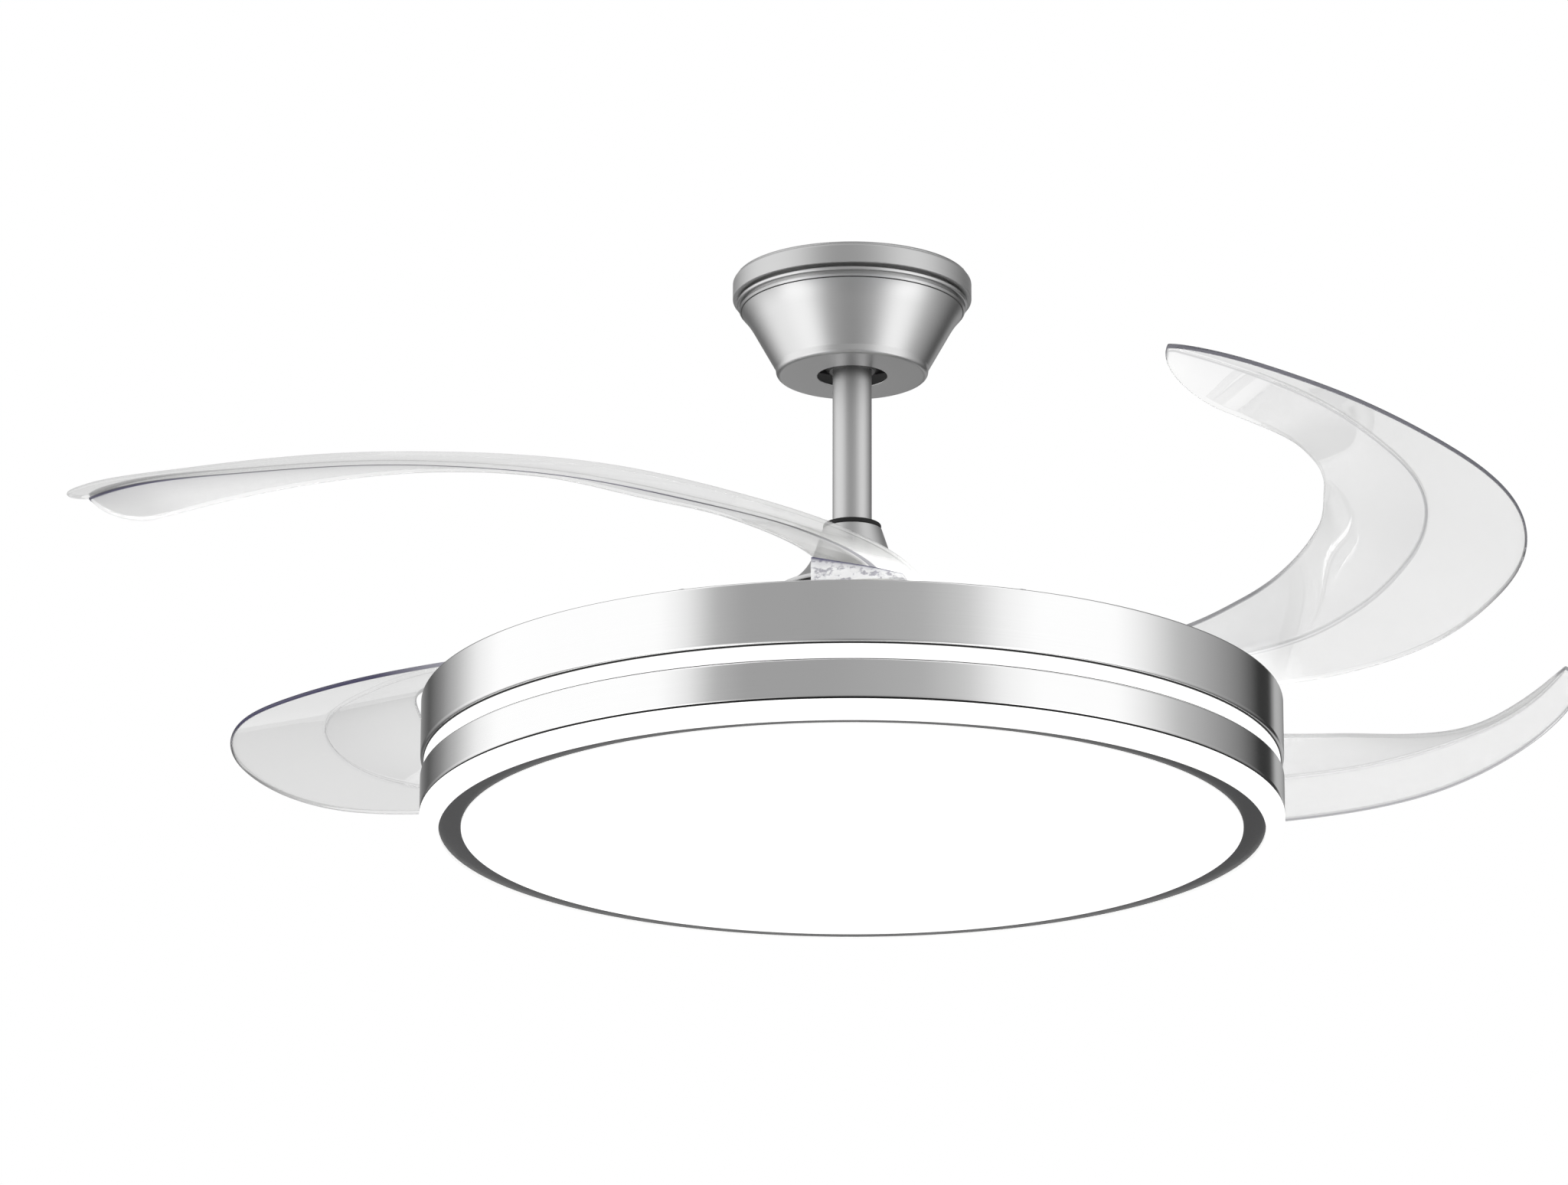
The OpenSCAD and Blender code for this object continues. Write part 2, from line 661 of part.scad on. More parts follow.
module bearing_inner_rings() {
    color(steel) for (z = [top_bearing_z, low_bearing_z]) difference() {
        tube(bearing_in_r + 0.8, shaft_r, z, z + bearing_w);
        translate([0, 0, z + bearing_w / 2]) rotate_extrude()
            translate([bearing_mid_r, 0]) circle(r = ball_bearing_r + run_gap);
    }
}

module light_hub() {
    color(steel) difference() {
        disc(34, base_plate_z, light_hub_top_z);
        disc(shaft_r, base_plate_z - eps, light_hub_top_z + eps);
        around(4, hub_screw_at, 45) disc(2 + slip_gap, base_plate_z - eps, light_hub_top_z - 1);
    }
}

module base_plate() {
    color(zinc) difference() {
        disc(drum_r - band_t - slip_gap, base_plate_z - base_plate_t, base_plate_z);
        disc(shaft_r - 3, base_plate_z - 2 * base_plate_t, base_plate_z + eps);
        around(4, hub_screw_at, 45) disc(2 + slip_gap, base_plate_z - 2 * base_plate_t, base_plate_z + eps);
        around(rim_screws, rim_screw_at, 22.5)
            disc(small_screw_r + slip_gap, base_plate_z - 2 * base_plate_t, base_plate_z + eps);
    }
}

// A band with a rolled lip at both ends
module metal_band(low, high) {
    rotate_extrude() polygon(concat(
        [[lip_in_r, low]], arc([drum_r - 1, low + 1], 1, 270, 360, 3),
        arc([drum_r - 1, high - 1], 1, 0, 90, 3), [[lip_in_r, high], [lip_in_r, high - band_t],
        [drum_r - band_t, high - band_t], [drum_r - band_t, low + band_t], [lip_in_r, low + band_t]]
    ));
}

module upper_band() {
    color(nickel) difference() {
        metal_band(upper_end_z, drum_top_z);
        around(rim_screws, rim_screw_at, 22.5)
            disc(small_screw_r + slip_gap, base_plate_z - eps, drum_top_z + eps);
    }
}

module light_band() {
    color(white) tube(drum_r - 1.5, drum_r - 6.5, light_end_z, upper_end_z);
}

module lower_band() {
    color(nickel) metal_band(lower_end_z, light_end_z);
}

module band_brackets() {
    color(zinc) around(band_brackets_n, 0, 0) {
        translate([strip_r - strip_t, -strip_w / 2, foot_z])
            cube([strip_t, strip_w, base_plate_z - base_plate_t - foot_z]);
        difference() {
            translate([trim_screw_r - 4, -strip_w / 2, foot_z])
                cube([strip_r - trim_screw_r + 4, strip_w, foot_t]);
            translate([trim_screw_r, 0, 0])
                disc(small_screw_r + slip_gap, foot_z - eps, foot_z + foot_t + eps);
        }
        translate([strip_r - strip_t, -strip_w / 2, lower_end_z + band_t])
            cube([strip_t + 5, strip_w, foot_t]);
    }
}

module lens_ring() {
    color(white) rotate_extrude() polygon(concat(
        [[trim_r, drum_base_z]], arc([drum_r - corner_r, drum_base_z + corner_r], corner_r, 270, 360, 6),
        [[drum_r, lower_end_z], [drum_r - ring_wall, lower_end_z]],
        arc([drum_r - corner_r, drum_base_z + corner_r], corner_r - ring_wall, 0, -90, 6),
        [[trim_r + ring_wall, drum_base_z + ring_wall], [trim_r + ring_wall, lower_end_z],
         [trim_r, lower_end_z]]
    ));
}

module trim_ring() {
    color([0.2, 0.2, 0.21]) {
        difference() {
            union() {
                tube(trim_r - slip_gap, diffuser_r + slip_gap, trim_z, trim_z + trim_flange_t);
                tube(diffuser_r + 2.2, diffuser_r + slip_gap, trim_z, rim_top_z);
                around(band_brackets_n, trim_screw_r) disc(3.5, trim_z, foot_z);
            }
            around(band_brackets_n, trim_screw_r) disc(small_screw_r, trim_z + 1, foot_z + eps);
        }
    }
}

module diffuser() {
    color([0.98, 0.98, 0.97]) difference() {
        union() {
            disc(diffuser_r, face_z, rim_top_z + 1.6);
            tube(diffuser_r + 4, diffuser_r - diffuser_t, rim_top_z, rim_top_z + 1.6);
        }
        disc(diffuser_r - diffuser_t, face_z + diffuser_t, rim_top_z + 1.6 + eps);
    }
}

module light_tray() {
    color(white) {
        difference() {
            union() {
                disc(tray_r, tray_z - tray_t, tray_z);
                tube(tray_r, tray_r - tray_t, tray_z - tray_t, tray_z + 6);
                around(4, tray_post_at, 45) disc(tray_post_r, tray_z - tray_t, base_plate_z - base_plate_t);
            }
            disc(12, tray_z - tray_t - eps, tray_z + eps);
        }
    }
}

module led_boards() {
    color([0.93, 0.94, 0.9]) for (k = [0:3]) rotate([0, 0, 90 * k]) intersection() {
        tube(board_out_r, board_in_r, tray_z - tray_t - board_t, tray_z - tray_t);
        translate([1, 1, tray_z - 2 * board_t - tray_t]) cube([board_out_r, board_out_r, 3 * board_t]);
    }
}

led_size = [3, 3, 0.8];
module leds() {
    per_row = leds_per_board / led_rows;
    color([0.98, 0.93, 0.6]) for (k = [0:3]) for (row = [0:led_rows - 1]) for (i = [0:per_row - 1])
        rotate([0, 0, 90 * k + 8 + 74 * i / (per_row - 1)])
            translate([led_first_r + led_step * row, -led_size[1] / 2, tray_z - tray_t - board_t])
                translate([0, 0, -led_size[2]]) cube(led_size);
}

driver_size = [150, 42, 26];
driver_y = tray_r - 136;
module led_driver() {
    color(white) translate([0, driver_y, tray_z]) difference() {
        round_box(driver_size, 3);
        for (x = [-1, 1]) translate([x * driver_size[0] / 2, 0, driver_size[2] / 2]) along_x(3, 6);
    }
}

module light_screws() {
    color(steel) {
        around(4, hub_screw_at, 45) translate([0, 0, base_plate_z - base_plate_t]) rotate([180, 0, 0])
            pan_screw(3.6, 2, 2, light_hub_t + base_plate_t - 1.5);
        around(rim_screws, rim_screw_at, 22.5) translate([0, 0, drum_top_z])
            pan_screw(2.8, 0.7, small_screw_r, band_t + base_plate_t + 2);
        around(band_brackets_n, trim_screw_r) translate([0, 0, foot_z + foot_t])
            pan_screw(3, 1.6, small_screw_r, foot_t + 3);
    }
}

// ---- Rotor

bell_corner = 22;
module rotor_top() {
    color([0.9, 0.9, 0.9]) difference() {
        union() {
            rotate_extrude() difference() {
                polygon(concat(
                    [[0, motor_top_z]],
                    arc([motor_r - bell_corner, motor_top_z - bell_corner], bell_corner, 90, 0, 6),
                    [[motor_r, flange_base_z + 2 * plate_t], [motor_flange_r, flange_base_z + 2 * plate_t],
                     [motor_flange_r, flange_base_z + plate_t], [0, flange_base_z + plate_t]]
                ));
                polygon(concat(
                    [[0, motor_top_z - plate_t]],
                    arc([motor_r - bell_corner, motor_top_z - bell_corner], bell_corner - bell_t, 90, 0, 6),
                    [[motor_r - bell_t, flange_base_z], [0, flange_base_z]]
                ));
            }
            disc(bearing_r + 3, top_bearing_z, motor_top_z - eps);
        }
        disc(bearing_r, top_bearing_z - eps, motor_top_z - plate_t);
        disc(rotor_bore_r, top_bearing_z, motor_top_z + eps);
        around(12, motor_r - 28) disc(4, motor_top_z - 3 * plate_t, motor_top_z + eps);
        around(6, motor_screw_r) disc(2 + slip_gap, flange_base_z, flange_base_z + 3 * plate_t);
    }
}

module rotor_bottom() {
    color([0.85, 0.85, 0.86]) difference() {
        union() {
            disc(keeper_r, flange_base_z, flange_base_z + plate_t);
            disc(bearing_r + 3, low_bearing_z, flange_base_z + plate_t);
        }
        disc(bearing_r, low_bearing_z - eps, flange_base_z);
        disc(rotor_bore_r, flange_base_z - eps, flange_base_z + plate_t + eps);
        around(6, motor_screw_r) disc(2 + slip_gap, flange_base_z - eps, flange_base_z + 2 * plate_t);
    }
}

magnet_h = 12.5;
module rotor_magnets() {
    half_pitch = magnet_r * tan(180 / magnets);
    color([0.3, 0.3, 0.32]) intersection() {
        tube(magnet_r, magnet_r - magnet_t, stator_z - 3, stator_z - 3 + magnet_h);
        around(magnets, 0) translate([magnet_r - 2 * magnet_t, 1 - half_pitch, stator_z - 4])
            cube([3 * magnet_t, 2 * half_pitch - 4, magnet_h + 2]);
    }
}

module bearing_outer_rings() {
    color(steel) for (z = [top_bearing_z, low_bearing_z]) difference() {
        tube(bearing_r, bearing_race_r - 0.8, z, z + bearing_w);
        translate([0, 0, z + bearing_w / 2]) rotate_extrude()
            translate([bearing_mid_r, 0]) circle(r = ball_bearing_r);
    }
}

module bearing_balls() {
    color(steel) for (z = [top_bearing_z, low_bearing_z]) translate([0, 0, z + bearing_w / 2])
        around(bearing_balls_n, bearing_mid_r) sphere(r = ball_bearing_r - 0.01, $fn = 24);
}

module motor_screws() {
    color(steel) around(6, motor_screw_r) translate([0, 0, flange_base_z + 2 * plate_t])
        pan_screw(3.6, 2.4, 2, 2 * plate_t + 5);
}

module blade_carrier() {
    lobe_r = 18;
    color(steel) difference() {
        union() {
            disc(ring_pitch_r - 6, carrier_base_z, carrier_z);
            tube(ring_bore_r - run_gap, motor_r - 2, carrier_z - eps, flange_base_z);
            for (i = [1:4]) rotate([0, 0, pivot_angle + 90 * (i - 1)]) translate([0, 0, carrier_base_z])
                linear_extrude(carrier_t) link_plate([60, 0], 50, [pivot_r, 0], lobe_r);
        }
        disc(bearing_r + 4, carrier_base_z - eps, carrier_z + eps);
        for (i = [1:4]) at_pivot(i) disc(pivot_bolt_r - 1 + slip_gap, carrier_base_z - eps, carrier_z + eps);
        around(4, 52, pivot_angle + 45) disc(14, carrier_base_z - eps, carrier_z + eps);
        around(6, motor_screw_r) disc(2 + slip_gap, carrier_z + 1, flange_base_z + eps);
    }
}

module pivot_washers() {
    color([0.75, 0.62, 0.35]) for (i = [1:4]) at_pivot(i)
        tube(tube_r - 0.5, pivot_bolt_r + slip_gap, carrier_z, carrier_z + washer_t - 0.05);
}

module pivot_bolts() {
    color(steel) for (i = [1:4]) at_pivot(i) {
        disc(pivot_bolt_r, carrier_z, tube_top_z + 0.3 + eps);
        disc(pivot_bolt_r - 1, carrier_base_z - 3.4, carrier_z + eps);
        difference() {
            disc(head_r, tube_top_z + 0.3, tube_top_z + 0.3 + head_h);
            translate([0, 0, tube_top_z + head_h - 2]) cylinder(r = 4, h = 5, $fn = 6);
        }
    }
}

module pivot_nuts() {
    color(steel) for (i = [1:4]) at_pivot(i) difference() {
        translate([0, 0, carrier_base_z - 3.2]) cylinder(r = 7, h = 3.2, $fn = 6);
        disc(pivot_bolt_r - 1, carrier_base_z - 4, carrier_base_z + eps);
    }
}

// One coil lies in the pocket under each pinion
spring_sides = 6;
spring_steps = 14 * spring_turns;
module coil_spring() {
    rise = spring_turns * spring_pitch;
    points = [for (k = [0:spring_steps]) for (j = [0:spring_sides - 1])
        let (a = 360 * spring_turns * k / spring_steps, b = 360 * j / spring_sides,
             r = spring_r + spring_wire_r * cos(b))
        [r * cos(a), r * sin(a), rise * k / spring_steps + spring_wire_r * sin(b)]];
    quads = [for (k = [0:spring_steps - 1]) for (j = [0:spring_sides - 1])
        let (n = (j + 1) % spring_sides, a = k * spring_sides, b = a + spring_sides)
        [a + j, b + j, b + n, a + n]];
    polyhedron(points = points, faces = concat(
        [for (q = quads) [q[0], q[1], q[2]]], [for (q = quads) [q[0], q[2], q[3]]],
        [[for (j = [0:spring_sides - 1]) j]],
        [[for (j = [spring_sides - 1:-1:0]) spring_steps * spring_sides + j]]
    ));
}
module return_springs() {
    color(steel) for (i = [1:4]) at_pivot(i) translate([0, 0, carrier_z + spring_wire_r]) coil_spring();
}

// ---- Synchronising ring

module sync_gear() {
    color([0.88, 0.88, 0.84]) translate([0, 0, carrier_z + ring_play])
        rotate([0, 0, pivot_angle + 180 / ring_teeth]) linear_extrude(gear_h) difference() {
            polygon(gear_points(ring_teeth));
            circle(r = ring_bore_r);
        }
}

// ---- Blades

module blade_leaf(i) {
    cols = leaf_chords + 1;
    layer = cols * (leaf_stations + 1);
    points = [for (side = [-1, 1]) for (k = [0:leaf_stations]) for (j = [0:leaf_chords])
        leaf_point(station(k), chord(station(k), j), side)];
    skin = [for (k = [0:leaf_stations - 1]) for (j = [0:leaf_chords - 1])
        let (a = k * cols + j) [a, a + 1, a + cols + 1, a + cols]];
    lower = [for (q = skin) for (t = [[q[0], q[1], q[2]], [q[0], q[2], q[3]]]) t];
    upper = [for (t = lower) [t[2] + layer, t[1] + layer, t[0] + layer]];
    rim = concat(
        [for (k = [0:leaf_stations - 1]) [k * cols, (k + 1) * cols]],
        [for (j = [0:leaf_chords - 1]) [leaf_stations * cols + j, leaf_stations * cols + j + 1]],
        [for (k = [leaf_stations:-1:1]) [k * cols + leaf_chords, (k - 1) * cols + leaf_chords]],
        [for (j = [leaf_chords:-1:1]) [j, j - 1]]
    );
    sides = [for (e = rim)
        for (t = [[e[0], e[1], e[1] + layer], [e[0], e[1] + layer, e[0] + layer]]) t];
    color(clear) spread(i) polyhedron(points = points, faces = concat(lower, upper, sides));
}

root_screw_r = 2;
root_screw_l = 5.5;                         // length in the block
arm_dir = root_arm / norm(root_arm);
arm_side = [-arm_dir[1], arm_dir[0]];
root_screw_places = [
    root_arm + 0.2 * arm_r * arm_dir,
    root_arm - 0.6 * arm_r * arm_dir + 0.5 * arm_r * arm_side,
    root_arm - 0.6 * arm_r * arm_dir - 0.5 * arm_r * arm_side
];

// Thick clear wedge that fills the room between the hub's flat plate and the twisted leaf
module root_block(i) {
    rows = block_to - block_from;
    cols = leaf_chords;
    layer = cols * (rows + 1);
    top = [for (k = [block_from:block_to]) for (j = [1:leaf_chords])
        leaf_point(station(k), chord(station(k), j), -1)];
    points = concat([for (p = top) [p[0], p[1], plate_top_z]], top);
    skin = [for (k = [0:rows - 1]) for (j = [0:cols - 2])
        let (a = k * cols + j) [a, a + 1, a + cols + 1, a + cols]];
    lower = [for (q = skin) for (t = [[q[0], q[1], q[2]], [q[0], q[2], q[3]]]) t];
    upper = [for (t = lower) [t[2] + layer, t[1] + layer, t[0] + layer]];
    rim = concat(
        [for (k = [0:rows - 1]) [k * cols, (k + 1) * cols]],
        [for (j = [0:cols - 2]) [rows * cols + j, rows * cols + j + 1]],
        [for (k = [rows:-1:1]) [k * cols + cols - 1, (k - 1) * cols + cols - 1]],
        [for (j = [cols - 1:-1:1]) [j, j - 1]]
    );
    sides = [for (e = rim)
        for (t = [[e[0], e[1], e[1] + layer], [e[0], e[1] + layer, e[0] + layer]]) t];
    color(clear) spread(i) difference() {
        polyhedron(points = points, faces = concat(lower, upper, sides));
        for (p = root_screw_places) translate(p)
            disc(root_screw_r, plate_top_z - eps, plate_top_z + root_screw_l + eps);
    }
}

module blade_hub(i) {
    color([0.93, 0.93, 0.92]) difference() {
        union() {
            at_pivot(i) translate([0, 0, pinion_z]) rotate([0, 0, 180])
                linear_extrude(pinion_top_z - pinion_z) polygon(gear_points(pinion_teeth));
            spread(i) {
                translate([0, 0, pinion_top_z]) linear_extrude(hub_plate_t)
                    link_plate([0, 0], boss_r + 5, root_arm, arm_r);
                disc(boss_r, pinion_top_z, leaf_top_z);
                disc(tube_r, pinion_z, tube_top_z);
            }
        }
        at_pivot(i) {
            disc(pivot_bolt_r + run_gap, pinion_z - eps, tube_top_z + eps);
            tube(pocket_r, tube_r, pinion_z - eps, pinion_z + pocket_h - washer_t);
        }
        spread(i) for (p = root_screw_places) translate(p)
            disc(root_screw_r + slip_gap, pinion_top_z - eps, plate_top_z + eps);
    }
}

module root_screws(i) {
    color(steel) spread(i) for (p = root_screw_places) translate([p[0], p[1], pinion_top_z])
        rotate([180, 0, 0]) pan_screw(3.4, 1.4, root_screw_r, hub_plate_t + root_screw_l - eps);
}

ceiling_bracket();
receiver();
terminal_block();
canopy_ring();
canopy();
canopy_screws();
hanger_ball();
rod_pins();
downrod();
rod_gasket();
coupling_cover();
yoke();
pin_clips();
set_screws();
motor_shaft();
stator_core();
stator_windings();
bearing_inner_rings();
light_hub();
base_plate();
upper_band();
light_band();
lower_band();
band_brackets();
lens_ring();
trim_ring();
diffuser();
light_tray();
led_boards();
leds();
led_driver();
light_screws();
rotor_top();
rotor_bottom();
rotor_magnets();
bearing_outer_rings();
bearing_balls();
motor_screws();
blade_carrier();
pivot_washers();
pivot_bolts();
pivot_nuts();
return_springs();
sync_gear();
blade_leaf(1);  // blade_leaf_1
blade_leaf(2);  // blade_leaf_2
blade_leaf(3);  // blade_leaf_3
blade_leaf(4);  // blade_leaf_4
root_block(1);  // root_block_1
root_block(2);  // root_block_2
root_block(3);  // root_block_3
root_block(4);  // root_block_4
blade_hub(1);  // blade_hub_1
blade_hub(2);  // blade_hub_2
blade_hub(3);  // blade_hub_3
blade_hub(4);  // blade_hub_4
root_screws(1);  // root_screws_1
root_screws(2);  // root_screws_2
root_screws(3);  // root_screws_3
root_screws(4);  // root_screws_4
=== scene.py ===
"""Looks of a retractable-blade ceiling fan with a drum light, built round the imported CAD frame."""

import json
import math
from collections import namedtuple

import bmesh
import bpy
from mathutils import Matrix, Vector

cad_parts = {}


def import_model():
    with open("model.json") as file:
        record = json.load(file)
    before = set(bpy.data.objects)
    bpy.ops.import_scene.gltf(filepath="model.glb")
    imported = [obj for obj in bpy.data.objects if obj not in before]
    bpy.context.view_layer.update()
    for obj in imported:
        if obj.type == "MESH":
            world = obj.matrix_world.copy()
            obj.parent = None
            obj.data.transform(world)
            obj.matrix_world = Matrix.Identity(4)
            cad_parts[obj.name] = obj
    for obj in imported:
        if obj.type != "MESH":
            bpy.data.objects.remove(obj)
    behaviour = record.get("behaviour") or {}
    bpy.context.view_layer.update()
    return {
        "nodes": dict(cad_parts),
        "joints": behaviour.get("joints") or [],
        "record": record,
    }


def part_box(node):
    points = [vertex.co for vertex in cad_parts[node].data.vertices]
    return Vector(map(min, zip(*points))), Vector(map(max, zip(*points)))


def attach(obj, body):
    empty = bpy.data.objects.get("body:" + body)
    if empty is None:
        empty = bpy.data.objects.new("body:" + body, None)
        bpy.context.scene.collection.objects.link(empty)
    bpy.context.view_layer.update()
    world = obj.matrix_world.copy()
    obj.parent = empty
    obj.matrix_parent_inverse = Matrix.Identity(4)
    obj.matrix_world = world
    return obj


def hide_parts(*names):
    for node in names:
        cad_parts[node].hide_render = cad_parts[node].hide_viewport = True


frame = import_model()
MM = 0.001


# ---- Materials: sums on sockets add their own nodes

class Wire:
    """One output socket. Sums on it add Math nodes for values and Mix or Vector Math nodes for
    colours and vectors."""

    def __init__(self, finish, socket):
        self.finish = finish
        self.socket = socket

    def sum(self, operation, first, second):
        sides = (first, second)
        kinds = {side.socket.type for side in sides if isinstance(side, Wire)}
        if kinds & {"RGBA", "VECTOR"}:
            sides = [side if isinstance(side, (Wire, tuple)) else (side,) * 3 for side in sides]
        if "RGBA" in kinds:
            return self.finish.blend(1.0, *sides, operation)
        kind = "ShaderNodeVectorMath" if "VECTOR" in kinds else "ShaderNodeMath"
        return self.finish.node(kind, {"operation": operation}, dict(enumerate(sides)))

    def __add__(self, other):
        return self.sum("ADD", self, other)

    def __radd__(self, other):
        return self.sum("ADD", other, self)

    def __sub__(self, other):
        return self.sum("SUBTRACT", self, other)

    def __rsub__(self, other):
        return self.sum("SUBTRACT", other, self)

    def __mul__(self, other):
        return self.sum("MULTIPLY", self, other)

    def __rmul__(self, other):
        return self.sum("MULTIPLY", other, self)

    def __truediv__(self, other):
        return self.sum("DIVIDE", self, other)

    def __pow__(self, other):
        return self.sum("POWER", self, other)


class Finish:
    """One material, or the world, as a tree of nodes."""

    def __init__(self, name, owner=None):
        self.owner = owner or bpy.data.materials.new(name)
        self.owner.use_nodes = True
        self.tree = self.owner.node_tree
        self.tree.nodes.clear()

    def node(self, kind, settings=None, sockets=None, out=None):
        """Adds a node: its settings first, then the values or links of its sockets."""
        made = self.tree.nodes.new(kind)
        for key, value in (settings or {}).items():
            if key == "stops":
                ramp = made.color_ramp
                while len(ramp.elements) < len(value):
                    ramp.elements.new(0.5)
                for element, (place, shade) in zip(ramp.elements, value):
                    element.position = place
                    element.color = (shade, shade, shade, 1)
            else:
                setattr(made, key, value)
        for key, value in (sockets or {}).items():
            socket = self.socket(made.inputs, key)
            if isinstance(value, Wire):
                self.tree.links.new(value.socket, socket)
            elif socket.type == "RGBA":
                socket.default_value = (*value, 1)
            else:
                socket.default_value = value
        if not len(made.outputs):
            return None
        return Wire(self, self.socket(made.outputs, 0 if out is None else out))

    @staticmethod
    def socket(sockets, key):
        if isinstance(key, int):
            return [s for s in sockets if s.enabled][key]
        return next(s for s in sockets if s.enabled and key in (s.identifier, s.name))

    def blend(self, factor, a, b, how="MIX"):
        """Mixes two colours."""
        settings = {"data_type": "RGBA", "blend_type": how, "clamp_factor": True}
        sockets = {"Factor_Float": factor, "A_Color": a, "B_Color": b}
        return self.node("ShaderNodeMix", settings, sockets, "Result_Color")

    def axis(self, where, name):
        return self.node("ShaderNodeSeparateXYZ", None, {0: where}, name)

    def painted(self, name):
        """A value that the mesh's points carry."""
        return self.node("ShaderNodeAttribute", {"attribute_name": name}, None, "Fac")

    def ray(self, kind):
        """1 for one kind of ray, 0 for the others."""
        return self.node("ShaderNodeLightPath", out=f"Is {kind} Ray")

    def place(self, stretch=(1, 1, 1)):
        """Place on the fan, in metres, stretched along each axis."""
        return self.node("ShaderNodeTexCoord", out="Object") * stretch

    def round_place(self, along, across):
        """Place for marks that run round the fan's axis: long round it, fine across it."""
        at = self.node("ShaderNodeTexCoord", out="Object")
        x, y, z = (self.axis(at, name) for name in "XYZ")
        radius = (x * x + y * y) ** 0.5
        sockets = {"X": x * along, "Y": y * along, "Z": (z + radius) * across}
        return self.node("ShaderNodeCombineXYZ", None, sockets)

    def noise(self, where, scale=1.0, detail=2.0, roughness=0.5):
        sockets = {"Vector": where, "Scale": scale, "Detail": detail, "Roughness": roughness}
        return self.node("ShaderNodeTexNoise", None, sockets, "Fac")

    def between(self, value, low, high):
        """0 below low, 1 above high."""
        settings = {"interpolation_type": "SMOOTHSTEP"}
        return self.node("ShaderNodeMapRange", settings, {"Value": value, 1: low, 2: high})

    def bump(self, height, strength, distance):
        sockets = {"Height": height, "Strength": strength, "Distance": distance}
        return self.node("ShaderNodeBump", None, sockets)

    def shader(self, **values):
        """The Principled shader, with its sockets named in lower case with underscores."""
        sockets = {key.replace("_", " ").title(): value for key, value in values.items()}
        if "Ior" in sockets:
            sockets["IOR"] = sockets.pop("Ior")
        made = self.node("ShaderNodeBsdfPrincipled", None, sockets)
        self.finish(made)
        return self.owner

    def finish(self, shader):
        kind = "World" if isinstance(self.owner, bpy.types.World) else "Material"
        self.node(f"ShaderNodeOutput{kind}", None, {"Surface": shader})


def nickel_plate(name, tone, gloss, spread):
    """Nickel plate, brushed round the fan's axis, with faint cloudiness in the plate."""
    m = Finish(name)
    hairs = m.noise(m.round_place(5, 2600), detail=3, roughness=0.65)
    cloud = m.noise(m.place(), 14, detail=3)
    return m.shader(
        base_color=m.blend(1.0, (tone, tone, tone), 0.95 + hairs * 0.06 + cloud * 0.04, "MULTIPLY"),
        metallic=1.0,
        roughness=gloss + hairs * spread + cloud * 0.03,
        normal=m.bump(hairs, 0.02, 0.0001),
    )


def turned_steel():
    """Plain machined steel with turning marks."""
    m = Finish("turned_steel")
    marks = m.noise(m.round_place(8, 1500), detail=2)
    oil = m.noise(m.place(), 60)
    return m.shader(
        base_color=m.blend(oil, (0.42, 0.42, 0.43), (0.56, 0.56, 0.57)),
        metallic=1.0,
        roughness=0.24 + marks * 0.16,
        normal=m.bump(marks, 0.15, 0.0002),
    )


def zinc_plate():
    """Zinc-plated pressed steel: soft spangle and rolling lines."""
    m = Finish("zinc_plate")
    spangle = m.node("ShaderNodeTexVoronoi", None, {"Vector": m.place(), "Scale": 130.0}, "Color")
    lines = m.noise(m.place((40, 1400, 40)), detail=2)
    tone = m.node("ShaderNodeSeparateColor", None, {0: spangle}, "Red")
    return m.shader(
        base_color=m.blend(tone, (0.5, 0.51, 0.53), (0.66, 0.67, 0.69)),
        metallic=1.0,
        roughness=0.3 + tone * 0.12 + lines * 0.06,
        normal=m.bump(lines, 0.08, 0.0002),
    )


def coated(name, dark, pale, roughness, grain=900.0, depth=0.00015, metallic=0.0):
    """Paint, powder coat or moulded plastic: a fine skin over a slight change of tone."""
    m = Finish(name)
    skin = m.noise(m.place(), grain, detail=2)
    tone = m.noise(m.place(), 25, detail=3)
    return m.shader(
        base_color=m.blend(tone, dark, pale),
        metallic=metallic,
        roughness=roughness + skin * 0.08 + tone * 0.05,
        normal=m.bump(skin, 0.25, depth),
    )


def stacked_iron():
    """Thin iron sheets, stacked along the fan's axis."""
    m = Finish("stacked_iron")
    sheets = m.noise(m.place((4, 4, 2400)), detail=1)
    rust = m.noise(m.place(), 90, detail=4)
    return m.shader(
        base_color=m.blend(rust, (0.13, 0.13, 0.14), (0.22, 0.21, 0.2)),
        metallic=1.0,
        roughness=0.4 + sheets * 0.2,
        normal=m.bump(sheets, 0.4, 0.0003),
    )


def copper_winding():
    """Lacquered copper wire of 0.9 mm laid side by side."""
    m = Finish("copper_winding")
    radians_per_metre = 7000
    at = m.place()
    ridge = m.node(
        "ShaderNodeMath", {"operation": "SINE"}, {0: m.axis(at, "Z") * radians_per_metre}
    )
    tone = m.noise(at, 120)
    return m.shader(
        base_color=m.blend(tone, (0.5, 0.2, 0.08), (0.68, 0.32, 0.14)),
        metallic=1.0,
        roughness=0.28 + tone * 0.1,
        normal=m.bump(ridge, 0.5, 0.0003),
    )


def lit_acrylic():
    """White light-diffusing acrylic, lit from inside."""
    m = Finish("lit_acrylic")
    haze = m.noise(m.place(), 9, detail=2)
    skin = m.noise(m.place(), 700)
    return m.shader(
        base_color=m.blend(haze, (0.9, 0.9, 0.89), (0.93, 0.93, 0.925)),
        roughness=0.26 + skin * 0.08,
        emission_color=m.blend(haze, (0.97, 0.97, 0.965), (1.0, 1.0, 1.0)),
        emission_strength=0.62,
        normal=m.bump(skin, 0.05, 0.0001),
    )


